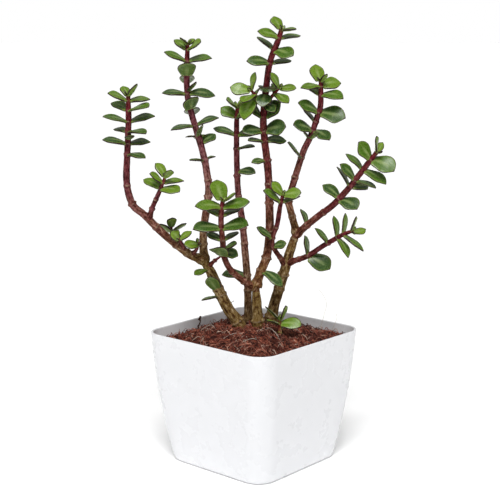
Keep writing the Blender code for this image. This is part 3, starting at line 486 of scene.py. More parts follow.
@dataclass(frozen=True)
class Bark:
    """Skin of the stems: maroon where young, dusty mauve between and olive-brown at the foot.

    The mesh holds what it reads: age from 0 (tip) to 1 (foot), dust, ring and scar from 0 to 1, and the place
    round and along the stem, in millimetres.
    """

    sprout: Colour = (0.230, 0.290, 0.050)
    fresh: Colour = (0.190, 0.060, 0.030)
    maroon: Colour = (0.135, 0.009, 0.016)
    wine: Colour = (0.105, 0.013, 0.013)
    brown: Colour = (0.150, 0.056, 0.024)
    olive: Colour = (0.185, 0.118, 0.032)
    dusty: Colour = (0.205, 0.085, 0.108)
    # The two colours of the painted highlights on the bark, for young stems and old ones.
    young_highlight: Colour = (0.430, 0.200, 0.165)
    old_highlight: Colour = (0.500, 0.380, 0.210)
    pale: Colour = (0.420, 0.320, 0.230)
    # The colour multiplied in as painted shade.
    dark: Colour = (0.200, 0.070, 0.055)
    healed: Colour = (0.30, 0.205, 0.125)

    def material(self) -> bpy.types.Material:
        """Makes the material."""
        bench = Bench("bark")
        where = bench.vector("bark")
        age = bench.number("age")
        patches = bench.cloud(0.16, 4.0, 0.6, where)
        blotches = bench.cloud(0.42, 5.0, 0.7, bench.scaled(where, (1.0, 1.0, 0.6)))
        streaks = bench.cloud(1.0, 5.0, 0.6, bench.scaled(where, (0.75, 0.75, 0.12)))
        worn = bench.sums("ADD", age, bench.span(patches, 0.2, 0.8, -0.10, 0.16))
        colour = bench.ramp(worn, [(0.0, self.sprout), (0.03, self.fresh), (0.09, self.maroon),
                                   (0.40, self.wine), (0.66, self.brown), (0.90, self.olive)])
        dust = bench.sums("MULTIPLY", bench.number("dust"), bench.span(blotches, 0.36, 0.62, 0.25, 1.0))
        colour = bench.blend(dust, colour, self.dusty)
        # Painted highlights: random blotches lightened towards pink on young stems and tan on old ones, more
        # of them with age.
        light = bench.blend(bench.span(age, 0.45, 0.85), self.young_highlight, self.old_highlight)
        highlight_by_age = bench.span(age, 0.15, 0.75, 0.14, 0.90)
        lit = bench.sums("MULTIPLY", bench.span(blotches, 0.50, 0.70), highlight_by_age)
        colour = bench.blend(lit, colour, light)
        # Painted shade: random blotches and long streaks along the stem are darkened for contrast, standing
        # in for the shaded sides of the stems.
        colour = bench.blend(bench.span(blotches, 0.52, 0.36, 0.0, 0.90), colour, self.dark, "MULTIPLY")
        colour = bench.blend(bench.span(streaks, 0.50, 0.66, 0.0, 0.85), colour, self.dark, "MULTIPLY")
        flecks = bench.cells(0.85, bench.scaled(where, (1.0, 1.0, 0.55)))
        fleck = bench.sums("MULTIPLY", bench.span(flecks, 0.16, 0.05),
                           bench.span(patches, 0.42, 0.6, 0.10, 0.65))
        colour = bench.blend(fleck, colour, self.pale)
        line = bench.sums("MULTIPLY", bench.number("ring"), bench.span(streaks, 0.40, 0.62, 0.0, 0.70))
        colour = bench.blend(line, colour, self.pale)
        colour = bench.blend(bench.number("scar"), colour, self.healed)
        roughness = bench.span(age, 0.1, 0.8, 0.42, 0.72)
        bench.relief([(bench.cloud(1.0, 4.0, 0.6, bench.scaled(where, (2.4, 2.4, 0.5))), 0.00022),
                      (bench.cloud(5.0, 3.0, 0.6, where), 0.00008)])
        return bench.dress(colour, roughness, Specular_IOR_Level=0.08)


@dataclass(frozen=True)
class LeafSkin:
    """Waxy skin of the leaves: yellow-green when young, deeper when older, with a thin maroon margin.

    The mesh holds what it reads: age from 0 to 1, the distance from the margin in millimetres, the share of
    the leaf's length, how far from the midline, whether the point is on the upper face, and a tone for each
    leaf.
    """

    young: Colour = (0.145, 0.245, 0.012)
    green: Colour = (0.066, 0.142, 0.007)
    old: Colour = (0.030, 0.070, 0.013)
    pale: Colour = (0.165, 0.225, 0.070)
    # Partly the leaf's own yellow-green rim colour, partly a painted highlight along the rim.
    band: Colour = (0.230, 0.310, 0.050)
    margin: Colour = (0.022, 0.010, 0.006)
    # Pale speckles, and the painted highlight along the midline.
    pale_speckle_and_sheen: Colour = (0.360, 0.450, 0.170)
    deep: Colour = (0.025, 0.055, 0.010)
    foot: Colour = (0.250, 0.330, 0.080)

    def material(self) -> bpy.types.Material:
        """Makes the material."""
        bench = Bench("leaf_skin")
        age = bench.number("age")
        rim = bench.number("rim")
        along = bench.number("along")
        upper = bench.number("upper")
        tone = bench.number("tone")
        patches = bench.cloud(190.0, 4.0, 0.6)
        mottle = bench.cloud(850.0, 4.0, 0.7)
        worn = bench.sums("ADD", age, bench.span(patches, 0.2, 0.8, -0.16, 0.20))
        colour = bench.ramp(worn, [(0.0, self.young), (0.42, self.green), (1.0, self.old)])
        colour = bench.blend(bench.span(upper, 0.7, 0.2, 0.0, 0.40), colour, self.pale)
        colour = bench.blend(bench.span(mottle, 0.52, 0.72, 0.0, 0.30), colour, self.pale_speckle_and_sheen)
        colour = bench.blend(bench.span(mottle, 0.48, 0.28, 0.0, 0.55), colour, self.deep)
        colour = bench.blend(bench.span(patches, 0.46, 0.26, 0.0, 0.50), colour, self.deep)
        # Painted highlight: a pale streak down the midline of both faces, standing in for the glossy
        # highlight along the leaf's fold.
        middle = bench.sums("MULTIPLY", bench.span(bench.number("side"), 0.34, 0.02, 0.0, 0.42),
                            bench.span(along, 0.85, 0.35))
        colour = bench.blend(middle, colour, self.pale_speckle_and_sheen)
        # A paler band just inside the margin: partly the leaf's own yellow-green rim, partly a painted
        # highlight along the rim.
        colour = bench.blend(bench.span(rim, 1.8, 0.8, 0.0, 0.45), colour, self.band)
        edge = bench.sums("MULTIPLY", bench.span(rim, 1.00, 0.40), bench.span(tone, 0.0, 0.35, 0.70, 1.0))
        edge = bench.sums("MAXIMUM", edge, bench.span(along, 0.90, 0.98, 0.0, 0.9))
        colour = bench.blend(edge, colour, self.margin)
        tip = bench.sums("MULTIPLY", bench.span(along, 0.90, 0.99, 0.0, 0.95),
                         bench.span(tone, 0.1, 0.5, 0.4, 1.0))
        colour = bench.blend(tip, colour, self.margin)
        colour = bench.blend(bench.span(along, 0.16, 0.02, 0.0, 0.45), colour, self.foot)
        roughness = bench.span(mottle, 0.3, 0.7, 0.24, 0.38)
        bench.relief([(mottle, 0.00006), (bench.cloud(330.0, 3.0, 0.5), 0.00022)])
        return bench.dress(colour, roughness, Specular_IOR_Level=0.30, Coat_Weight=0.07, Coat_Roughness=0.14,
                           Subsurface_Weight=0.06, Subsurface_Scale=0.0010)


@dataclass(frozen=True)
class StudioFloor:
    """Matt pale backdrop paper."""

    colour: Colour = (0.95, 0.95, 0.95)
    tooth: Colour = (0.93, 0.93, 0.93)
    glow: float = 0.10

    def material(self) -> bpy.types.Material:
        """Makes the material."""
        bench = Bench("studio_paper")
        grain = bench.cloud(300.0, 3.0, 0.5)
        colour = bench.blend(bench.span(grain, 0.4, 0.7), self.colour, self.tooth)
        return bench.dress(colour, bench.span(grain, 0.3, 0.7, 0.88, 0.96), Specular_IOR_Level=0.05,
                           Emission_Strength=self.glow)


# ---------------------------------------------------------------- shared shapes


def plant_point(across: float, toward: float, height: float) -> Vector:
    """A place in the plant's frame, in millimetres, as a world position."""
    return (ACROSS * across + TOWARD * toward) * MM + UP * (Planter.crown() + height * MM)


def plant_vector(across: float, toward: float, up: float) -> Vector:
    """A direction and length in the plant's frame, in millimetres, as a world vector."""
    return (ACROSS * across + TOWARD * toward + UP * up) * MM


def square_to(direction: Vector, axis: Vector) -> Vector:
    """The part of a direction that is square to an axis."""
    flat = direction - axis * direction.dot(axis)
    if flat.length < 1e-6:
        flat = axis.orthogonal()
    return flat.normalized()


def smooth_line(controls: list[Vector], step: float) -> list[Vector]:
    """A smooth curve through some points.

    Args:
        controls: The points that it passes.
        step: About how far apart its own points are.

    Returns:
        The curve's points.
    """
    ends = [controls[0] * 2 - controls[1], *controls, controls[-1] * 2 - controls[-2]]
    points = [controls[0]]
    for a, b, c, d in zip(ends, ends[1:], ends[2:], ends[3:]):
        steps = max(1, round((c - b).length / step))
        for number in range(1, steps + 1):
            t = number / steps
            first = b * 2 + (c - a) * t
            second = (a * 2 - b * 5 + c * 4 - d) * t**2
            third = (b * 3 - a - c * 3 + d) * t**3
            points.append((first + second + third) / 2)
    return points


class MeshMaker:
    """Gathers points, faces and the numbers that each point holds, and makes one object of them."""

    def __init__(self) -> None:
        """Starts with nothing."""
        self.points: list[Vector] = []
        self.faces: list[tuple[int, ...]] = []
        self.numbers: dict[str, list[float]] = {}

    def add_points(self, points: list[Vector], **numbers: "float | list[float]") -> int:
        """Adds points.

        Args:
            points: Their places.
            **numbers: What they hold, one value for all or one for each.

        Returns:
            The number of the first of them.
        """
        start = len(self.points)
        self.points.extend(points)
        for name, value in numbers.items():
            values = value if isinstance(value, list) else [value] * len(points)
            self.numbers.setdefault(name, []).extend(values)
        return start

    def band(self, lower: int, upper: int, count: int) -> None:
        """Joins two loops of as many points, each given by its first point."""
        for i in range(count):
            j = (i + 1) % count
            self.faces.append((lower + i, lower + j, upper + j, upper + i))

    def lid(self, start: int, count: int, flip: bool = False) -> None:
        """Closes a loop with one face."""
        loop = list(range(start, start + count))
        self.faces.append(tuple(reversed(loop)) if flip else tuple(loop))

    def tube(self, points: list[Vector], radii: list[float], sides: int, squash: float = 1.0,
             **numbers: float) -> None:
        """Adds a closed tube along a line.

        Args:
            points: The line.
            radii: Its half-thickness at each point.
            sides: How many sides it has.
            squash: How flat it is, 1 being round.
            **numbers: What its points hold.
        """
        starts: list[int] = []
        across = (points[1] - points[0]).orthogonal().normalized()
        for i, (point, radius) in enumerate(zip(points, radii)):
            ahead = points[min(i + 1, len(points) - 1)] - points[max(i - 1, 0)]
            across = square_to(across, ahead.normalized())
            over = ahead.normalized().cross(across)
            ring: list[Vector] = []
            for side in range(sides):
                angle = 2 * math.pi * side / sides
                beside = across * math.cos(angle) * radius
                ring.append(point + beside + over * math.sin(angle) * radius * squash)
            starts.append(self.add_points(ring, **numbers))
        for low, high in zip(starts, starts[1:]):
            self.band(low, high, sides)
        self.lid(starts[0], sides, True)
        self.lid(starts[-1], sides)

    def finish(self, name: str, material: bpy.types.Material, smooth: bool = True) -> bpy.types.Object:
        """Makes the object.

        Args:
            name: Its name.
            material: Its finish.
            smooth: Whether its faces are shaded smooth.

        Returns:
            The object, in the scene.
        """
        mesh = bpy.data.meshes.new(name)
        mesh.from_pydata([tuple(point) for point in self.points], [], self.faces)
        for key, values in self.numbers.items():
            mesh.attributes.new(key, "FLOAT", "POINT").data.foreach_set("value", values)
        mesh.materials.append(material)
        made = bpy.data.objects.new(name, mesh)
        bpy.context.scene.collection.objects.link(made)
        if smooth:
            mesh.shade_smooth()
        mesh.update()
        return made


def settle(piece: bpy.types.Object) -> bpy.types.Object:
    """Turns what an object's modifiers make into its own mesh.

    Args:
        piece: The object.

    Returns:
        The same object, with no modifiers.
    """
    bpy.context.view_layer.update()
    evaluated = piece.evaluated_get(bpy.context.evaluated_depsgraph_get())
    mesh = bpy.data.meshes.new_from_object(evaluated)
    piece.modifiers.clear()
    old = piece.data
    piece.data = mesh
    bpy.data.meshes.remove(old)
    return piece


def declare(piece: bpy.types.Object, slot: Slot, nodes: tuple[str, ...]) -> None:
    """Says what a piece stands for, and reports it.

    Args:
        piece: The piece.
        slot: The material slot that it takes its finish from.
        nodes: The CAD nodes that it replaces.
    """
    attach(piece, BODY)
    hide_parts(*nodes)
    count = len(piece.data.vertices)
    LOG.info("%s: %d points, slot %s, for %s", piece.name, count, slot.value, ", ".join(nodes))


# ---------------------------------------------------------------- pot


@dataclass
class Planter:
    """The square tapered pot, with bowed walls, a rounded rim, a foot ring and drain holes."""

    width: float = 0.125
    base_width: float = 0.100
    height: float = 0.105
    wall: float = 0.0018
    corner: float = 0.0165
    bow: float = 0.0019
    foot_round: float = 0.0032
    rim_round: float = 0.0007
    inner_round: float = 0.0045
    foot_ring: float = 0.0060
    recess: float = 0.0006
    drain_hole: float = 0.008
    drain_offset: float = 0.026
    corner_steps: int = 18
    side_steps: int = 10
    wall_steps: int = 26
    finish: MouldedPlastic = field(default_factory=MouldedPlastic)

    @staticmethod
    def crown() -> float:
        """The height of the middle of the mix, which the plant's own heights start from."""
        return CROWN_HEIGHT

    def half_width(self, height: float) -> float:
        """Half the pot's outer width at a height, with its bowed walls."""
        share = height / self.height
        straight = self.base_width + (self.width - self.base_width) * share
        return straight / 2 + self.bow * 4 * share * (1 - share)

    def outline(self, half: float, radius: float) -> list[Vector]:
        """A square with round corners, as points round it.

        Args:
            half: Half its width.
            radius: The radius of its corners.

        Returns:
            The points, anticlockwise, at height 0.
        """
        radius = min(radius, half * 0.98)
        loop: list[Vector] = []
        for quarter in range(4):
            turn = math.pi / 2 * quarter
            centre = Vector((math.cos(turn + math.pi / 4), math.sin(turn + math.pi / 4), 0)) * math.sqrt(2)
            centre *= half - radius
            for step in range(self.corner_steps + 1):
                angle = turn + math.pi / 2 * step / self.corner_steps
                loop.append(centre + Vector((math.cos(angle), math.sin(angle), 0)) * radius)
            start = loop[-1]
            after = turn + math.pi / 2
            beyond = after + math.pi / 4
            next_centre = Vector((math.cos(beyond), math.sin(beyond), 0)) * math.sqrt(2)
            stop = next_centre * (half - radius) + Vector((math.cos(after), math.sin(after), 0)) * radius
            for step in range(1, self.side_steps):
                loop.append(start.lerp(stop, step / self.side_steps))
        return loop

    def profile(self) -> list[tuple[float, float, float]]:
        """The pot's section from the middle of its underside, over the rim, to the middle of its floor.

        Returns:
            For each loop: its half-width, its corner radius and its height.
        """
        rows: list[tuple[float, float, float]] = []
        base = self.half_width(0.0) - self.foot_round
        inside = base - self.foot_ring
        for share in (0.25, 0.6, 0.95):
            rows.append((inside * share, self.corner * share, self.recess))
        rows.append((inside, self.corner - self.foot_ring, self.recess))
        rows.append((inside + self.recess, self.corner - self.foot_ring + self.recess, 0.0))
        for step in range(9):
            angle = math.pi / 2 * step / 8
            inset = self.foot_round * (1 - math.sin(angle))
            height = self.foot_round * (1 - math.cos(angle))
            rows.append((self.half_width(height) - inset, self.corner - inset, height))
        top = self.height - self.rim_round
        for step in range(1, self.wall_steps + 1):
            height = self.foot_round + (top - self.foot_round) * step / self.wall_steps
            rows.append((self.half_width(height), self.corner, height))
        for step in range(1, 13):
            angle = math.pi * step / 12
            out = self.half_width(top) - self.wall / 2 + math.cos(angle) * self.wall / 2
            rise = math.sin(angle) * self.rim_round
            rows.append((out, self.corner - (self.half_width(top) - out), top + rise))
        floor = self.wall + self.inner_round
        for step in range(1, self.wall_steps + 1):
            height = top + (floor - top) * step / self.wall_steps
            rows.append((self.half_width(height) - self.wall, self.corner - self.wall, height))
        low = self.half_width(floor) - self.wall - self.inner_round
        for step in range(1, 7):
            angle = math.pi / 2 * step / 6
            out, rise = self.inner_round * math.cos(angle), self.inner_round * math.sin(angle)
            corner = self.corner - self.wall - self.inner_round * (1 - math.cos(angle))
            rows.append((low + out, corner, floor - rise))
        for share in (0.8, 0.55, 0.3):
            rows.append((low * share, (self.corner - self.wall) * share, self.wall))
        return rows

    def build(self) -> bpy.types.Object:
        """Builds the pot.

        Returns:
            The pot.
        """
        maker = MeshMaker()
        starts: list[int] = []
        count = 0
        for half, radius, height in self.profile():
            loop = self.outline(half, radius)
            count = len(loop)
            starts.append(maker.add_points([point + UP * height for point in loop]))
        for low, high in zip(starts, starts[1:]):
            maker.band(low, high, count)
        for start, height, flip in ((starts[0], self.recess, True), (starts[-1], self.wall, False)):
            hub = maker.add_points([UP * height])
            for i in range(count):
                pair = (start + i, start + (i + 1) % count)
                maker.faces.append((pair[1], pair[0], hub) if flip else (*pair, hub))
        pot = maker.finish("planter", self.finish.material())
        cutters: list[bpy.types.Object] = []
        for x, y in ((1, 0), (0, 1), (-1, 0), (0, -1)):
            drill = MeshMaker()
            place = Vector((x, y, 0)) * self.drain_offset
            line = [place - UP * self.wall, place + UP * self.wall * 2]
            drill.tube(line, [self.drain_hole / 2] * 2, 48)
            cutter = drill.finish("drain", self.finish.material())
            cut = pot.modifiers.new("Drain", "BOOLEAN")
            cut.operation = "DIFFERENCE"
            cut.object = cutter
            cutters.append(cutter)
        settle(pot)
        for cutter in cutters:
            bpy.data.objects.remove(cutter, do_unlink=True)
        pot.data.shade_smooth()
        edges = pot.modifiers.new("Crisp", "WEIGHTED_NORMAL")
        edges.keep_sharp = True
        declare(pot, Slot.POT, ("pot",))
        return pot


# ---------------------------------------------------------------- potting mix


@dataclass
class MixBed:
    """The potting mix: a rough dome of coir dust under loose chips, strands, dry stalks and pale roots."""

    planter: Planter
    below_rim: float = 0.010
    dome: float = 0.013
    ripple: float = 0.0008
    gap: float = 0.0003
    rings: int = 64
    seed: int = 17
    clump_depth: float = 0.0011
    crumb_depth: float = 0.0006
    chips: int = 1700
    chip_lengths: Place = (1.2, 9.0, 3.0)
    widest_chip: float = 0.0022
    strands: int = 5000
    strand_lengths: Place = (3.0, 15.0, 6.0)
    strand_widths: Place = (0.12, 0.55, 0.24)
    strand_steps: int = 6

    def height(self, x: float, y: float) -> float:
        """The height of the rough surface at a place."""
        top = self.planter.height - self.below_rim
        edge = self.planter.half_width(top) - self.planter.wall
        share = min(1.0, max(abs(x), abs(y)) / edge)
        angle = math.atan2(y, x)
        dome = self.dome * math.cos(math.pi / 2 * share) ** 1.2
        ripple = self.ripple * math.sin(3 * angle + 7 * share) * share
        here = Vector((x, y, 0.37))
        clumps = noise.fractal(here * 95, 0.8, 2.0, 4) * self.clump_depth
        crumbs = noise.fractal(here * 520, 0.7, 2.0, 3) * self.crumb_depth
        return top + dome + ripple + clumps + crumbs

    def slope(self, x: float, y: float) -> Vector:
        """The way that the surface faces at a place."""
        step = 0.002
        along_x = Vector((2 * step, 0, self.height(x + step, y) - self.height(x - step, y)))
        along_y = Vector((0, 2 * step, self.height(x, y + step) - self.height(x, y - step)))
        return along_x.cross(along_y).normalized()

    def spot(self, draw: random.Random, share: float = 0.985) -> tuple[float, float]:
        """A random place inside the pot's rim.

        Args:
            draw: The source of chance.
            share: How near the wall it may be.

        Returns:
            Its x and y.
        """
        top = self.planter.height - self.below_rim
        half = (self.planter.half_width(top) - self.planter.wall) * share
        corner = self.planter.corner - self.planter.wall
        while True:
            x, y = draw.uniform(-half, half), draw.uniform(-half, half)
            over_x, over_y = abs(x) - (half - corner), abs(y) - (half - corner)
            if over_x <= 0 or over_y <= 0 or math.hypot(over_x, over_y) <= corner:
                return x, y

    def build_fill(self) -> bpy.types.Object:
        """Builds the body of the mix.

        Returns:
            The fill.
        """
        maker = MeshMaker()
        pot = self.planter
        clear = pot.wall + self.gap
        top = pot.height - self.below_rim
        floor = clear
        starts: list[int] = []
        rows = [(pot.half_width(floor) - clear - pot.inner_round, floor)]
        for step in range(9):
            height = floor + pot.inner_round + (top - floor - pot.inner_round) * step / 8
            rows.append((pot.half_width(height) - clear, height))
        count = 0
        for number, (half, height) in enumerate(rows):
            loop = pot.outline(half, pot.corner - clear)
            count = len(loop)
            if number == len(rows) - 1:
                places = [Vector((point.x, point.y, self.height(point.x, point.y))) for point in loop]
            else:
                places = [point + UP * height for point in loop]
            starts.append(maker.add_points(places))
        edge = maker.points[starts[-1]:starts[-1] + count]
        for ring in range(self.rings - 1, 0, -1):
            share = ring / self.rings
            loop = [Vector((point.x * share, point.y * share, 0)) for point in edge]
            starts.append(maker.add_points([point + UP * self.height(point.x, point.y) for point in loop]))
        for low, high in zip(starts, starts[1:]):
            maker.band(low, high, count)
        maker.lid(starts[0], count, True)
        hub = maker.add_points([UP * self.height(0.0, 0.0)])
        for i in range(count):
            maker.faces.append((starts[-1] + i, starts[-1] + (i + 1) % count, hub))
        fill = maker.finish("mix_fill", CoirFill().material())
        declare(fill, Slot.MIX, ("potting_mix",))
        return fill

    def build_chips(self) -> bpy.types.Object:
        """Builds the angular chips of husk that lie on the mix.

        Returns:
            The chips.
        """
        draw = random.Random(self.seed)
        maker = MeshMaker()
        for _number in range(self.chips):
            x, y = self.spot(draw)
            length = draw.triangular(*self.chip_lengths) * MM
            wide = min(self.widest_chip, length * draw.uniform(0.16, 0.5))
            size = (length, wide, wide * draw.uniform(0.35, 0.8))
            up = (self.slope(x, y) + Vector((draw.gauss(0, 0.45), draw.gauss(0, 0.45), 0))).normalized()
            turn = up.to_track_quat("Z", "X").to_matrix() @ Matrix.Rotation(draw.uniform(0, 6.28), 3, "Z")
            place = Vector((x, y, self.height(x, y) + size[2] * draw.uniform(0.05, 0.55)))
            self.add_chip(maker, draw, place, turn, size)
        stops = ((0.0, (0.016, 0.004, 0.003)), (0.45, (0.120, 0.024, 0.014)), (0.80, (0.360, 0.085, 0.042)),
                 (1.0, (0.600, 0.220, 0.120)))
        chips = maker.finish("mix_chips", CoirStrand("coir_chips", stops).material(), smooth=False)
        declare(chips, Slot.MIX, ("potting_mix",))
        return chips

    def add_chip(self, maker: MeshMaker, draw: random.Random, place: Vector, turn: Matrix,
                 size: Place) -> None:
        """Adds one chip: a bent, tapering prism with a broken outline.

        Args:
            maker: What the chip is added to.
            draw: The source of chance.
            place: Its middle.
            turn: The way it lies.
            size: Its length, width and thickness.
        """
        tint = min(1.0, max(0.0, draw.gauss(0.44, 0.40)))
        corners = draw.randint(5, 7)
        angles = sorted(draw.uniform(0, 2 * math.pi) for _corner in range(corners))
        rows: list[int] = []
        for side, scale in ((-0.5, draw.uniform(0.6, 1.0)), (0.5, draw.uniform(0.5, 0.9))):
            ring: list[Vector] = []
            for angle in angles:
                reach = scale * draw.uniform(0.75, 1.1) / 2
                bend = side * size[2] + draw.gauss(0, 0.12) * size[2]
                ring.append(place + turn @ Vector((math.cos(angle) * size[0] * reach,
                                                   math.sin(angle) * size[1] * reach, bend)))
            rows.append(maker.add_points(ring, tint=tint))
        maker.band(rows[0], rows[1], corners)
        maker.lid(rows[0], corners, True)
        maker.lid(rows[1], corners)

    def build_strands(self) -> bpy.types.Object:
        """Builds the fine curled fibres over the mix.

        Returns:
            The fibres.
        """
        draw = random.Random(self.seed + 1)
        maker = MeshMaker()
        for _number in range(self.strands):
            x, y = self.spot(draw)
            heading = draw.uniform(0, 2 * math.pi)
            length = draw.triangular(*self.strand_lengths) * MM
            curl = draw.gauss(0, 0.34)
            lift = abs(draw.gauss(0, 0.0017)) + 0.0003
            thick = draw.triangular(*self.strand_widths) * MM
            steps = self.strand_steps
            line: list[Vector] = []
            for step in range(steps + 1):
                share = step / steps
                inside = self.keep_inside(x, y)
                bow = math.sin(math.pi * share) * lift + draw.gauss(0, 0.00015)
                line.append(Vector((inside[0], inside[1], self.height(*inside) + bow - 0.0001)))
                heading += curl + draw.gauss(0, 0.25)
                x += math.cos(heading) * length / steps
                y += math.sin(heading) * length / steps
            tint = draw.random() ** 1.15
            maker.tube(line, [thick * (1 - 0.5 * i / steps) for i in range(steps + 1)], 3, tint=tint)
        stops = ((0.0, (0.020, 0.004, 0.003)), (0.30, (0.110, 0.020, 0.012)), (0.60, (0.380, 0.090, 0.050)),
                 (0.90, (0.560, 0.240, 0.160)), (1.0, (0.780, 0.620, 0.500)))
        fibres = maker.finish("mix_strands", CoirStrand("coir_strands", stops).material())
        declare(fibres, Slot.MIX, ("potting_mix",))
        return fibres

    def above_mix(self, across: float, toward: float, height: float) -> Vector:
        """A place in the plant's frame, with its height in millimetres above the mix below it."""
        place = plant_point(across, toward, 0)
        place.z = self.height(*self.keep_inside(place.x, place.y)) + height * MM
        return place

    def build_strays(self) -> bpy.types.Object:
        """Builds the dry stalks and the long pale roots that stand out of the mix.

        Returns:
            The stalks and roots.
        """
        maker = MeshMaker()
        for tint, thick, thin, controls in STRAYS:
            line = smooth_line([self.above_mix(*place) for place in controls], 0.001)
            radii = [(thick + (thin - thick) * number / (len(line) - 1)) * MM for number in range(len(line))]
            maker.tube(line, radii, 6, tint=tint)
        stops = ((0.0, (0.050, 0.022, 0.014)), (0.50, (0.250, 0.120, 0.070)), (1.0, (0.780, 0.700, 0.600)))
        strays = maker.finish("mix_roots", CoirStrand("dry_roots", stops).material())
        declare(strays, Slot.MIX, ("potting_mix",))
        return strays

    def keep_inside(self, x: float, y: float) -> tuple[float, float]:
        """The nearest place that is still inside the pot's rim."""
        top = self.planter.height - self.below_rim
        half = self.planter.half_width(top) - self.planter.wall - 0.0006
        corner = self.planter.corner - self.planter.wall
        x, y = max(-half, min(half, x)), max(-half, min(half, y))
        over_x, over_y = abs(x) - (half - corner), abs(y) - (half - corner)
        if over_x > 0 and over_y > 0 and math.hypot(over_x, over_y) > corner:
            pull = corner / math.hypot(over_x, over_y)
            x = math.copysign(half - corner + over_x * pull, x)
            y = math.copysign(half - corner + over_y * pull, y)
        return x, y

    def build(self) -> None:
        """Builds the fill and everything that lies on it."""
        self.build_fill()
        self.build_chips()
        self.build_strands()
        self.build_strays()


# ---------------------------------------------------------------- stems


class GrowthLine:
    """The line that a stem grows along, with the stem's thickness, which tapers towards its end."""

    taper: float = 0.30
    taper_reach: float = 0.016
    taper_share: float = 0.4

    def __init__(self, points: list[Vector], foot: float, end: float) -> None:
        """Measures the line.

        Args:
            points: Its closely spaced points.
            foot: The stem's thickness at its start.
            end: The stem's thickness at its end.
        """
        self.points = points
        self.foot = foot
        self.end = end
        self.lengths = [0.0]
        for a, b in zip(points, points[1:]):
            self.lengths.append(self.lengths[-1] + (b - a).length)
        self.total = self.lengths[-1]
        self.stop = self.total

    def at(self, distance: float) -> Vector:
        """The place at a distance from the foot."""
        for i in range(1, len(self.lengths)):
            if distance <= self.lengths[i] or i == len(self.lengths) - 1:
                span = self.lengths[i] - self.lengths[i - 1]
                return self.points[i - 1].lerp(self.points[i], (distance - self.lengths[i - 1]) / span)
        return self.points[-1]

    def direction(self, distance: float) -> Vector:
        """The way the stem grows at a distance from the foot."""
        reach = 0.002
        return (self.at(distance + reach) - self.at(max(0.0, distance - reach))).normalized()

    def radius(self, distance: float) -> float:
        """Half the stem's thickness at a distance from the foot."""
        share = min(1.0, max(0.0, distance / self.total))
        reach = min(self.taper_reach, self.total * self.taper_share)
        slimmed = max(0.0, 1 - (self.total - distance) / reach) * self.taper
        return (self.foot + (self.end - self.foot) * share) * (1 - slimmed) / 2

    def distance_at(self, height: float) -> float:
        """How far along the stem its line passes a height of the plant's frame."""
        level = plant_point(0, 0, height).z
        for i in range(1, len(self.points)):
            low, high = self.points[i - 1].z, self.points[i].z
            if low <= level <= high and high > low:
                share = (level - low) / (high - low)
                return self.lengths[i - 1] + share * (self.lengths[i] - self.lengths[i - 1])
        return self.total


@dataclass
class StemSkin:
    """How one stem looks: its age at the foot and the end, and how dusty its skin is."""

    age_foot: float = 0.8
    age_end: float = 0.0
    dust: float = 0.25
    joint_spacing: float = 0.013


STEM_SKINS: dict[str, StemSkin] = {
    "left_trunk": StemSkin(1.0, 0.90, 0.10, 0.021),
    "left_branch": StemSkin(0.84, 0.06, 0.30, 0.019),
    "left_side_shoot": StemSkin(0.5, 0.12, 0.35),
    "left_low_sprig": StemSkin(0.6, 0.3, 0.3),
    "left_fork_sprig": StemSkin(0.6, 0.3, 0.3),
    "left_bare_twig": StemSkin(0.6, 0.3, 0.3),
    "left_upright": StemSkin(0.88, 0.07, 0.62, 0.017),
    "dry_twig": StemSkin(0.45, 0.35, 0.0),
    "centre_trunk": StemSkin(1.0, 0.96, 0.05, 0.022),
    "mid_shoot": StemSkin(0.62, 0.34, 0.15, 0.016),
    "tall_shoot": StemSkin(0.72, 0.10, 0.08, 0.017),
    "tall_left_twig": StemSkin(0.30, 0.20, 0.0),
    "tall_right_twig": StemSkin(0.30, 0.20, 0.0),
    "back_stem": StemSkin(1.0, 0.10, 0.45, 0.019),
    "right_trunk": StemSkin(1.0, 0.82, 0.12, 0.021),
    "right_inner_shoot": StemSkin(0.55, 0.30, 0.25),
    "right_upright": StemSkin(0.78, 0.12, 0.28, 0.018),
    "right_branch": StemSkin(0.58, 0.10, 0.16, 0.017),
    "right_low_branch": StemSkin(0.52, 0.12, 0.20, 0.016),
    "sprout": StemSkin(0.05, 0.0, 0.0),
}


@dataclass
class Joint:
    """A joint of a stem, where a pair of leaves grows or once grew."""

    distance: float
    facing: Vector
    leafy: bool


@dataclass
class StemSamples:
    """A stem's line as arrays, with a frame carried along it and a search tree."""

    line: GrowthLine
    step: float = 0.0005
    places: np.ndarray = field(init=False)
    tangents: np.ndarray = field(init=False)
    firsts: np.ndarray = field(init=False)
    seconds: np.ndarray = field(init=False)
    distances: np.ndarray = field(init=False)
    tree: kdtree.KDTree = field(init=False)

    def __post_init__(self) -> None:
        """Takes the samples."""
        count = max(2, round(self.line.total / self.step))
        self.distances = np.linspace(0.0, self.line.total, count + 1)
        table = np.array([tuple(point) for point in self.line.points])
        lengths = np.array(self.line.lengths)
        columns = [np.interp(self.distances, lengths, table[:, axis]) for axis in range(3)]
        self.places = np.stack(columns, axis=1)
        self.tangents = np.gradient(self.places, axis=0)
        self.tangents /= np.linalg.norm(self.tangents, axis=1, keepdims=True)
        self.tree = kdtree.KDTree(count + 1)
        across = Vector(TOWARD)
        firsts: list[Vector] = []
        for i, place in enumerate(self.places):
            self.tree.insert(Vector(place), i)
            across = square_to(across, Vector(self.tangents[i]))
            firsts.append(across.copy())
        self.tree.balance()
        self.firsts = np.array([tuple(first) for first in firsts])
        self.seconds = np.cross(self.tangents, self.firsts)

    def turn_of(self, joint: Joint) -> float:
        """The angle round the stem that a joint faces."""
        i = int(np.argmin(np.abs(self.distances - joint.distance)))
        facing = np.array(tuple(joint.facing))
        return math.atan2(float(facing @ self.seconds[i]), float(facing @ self.firsts[i]))


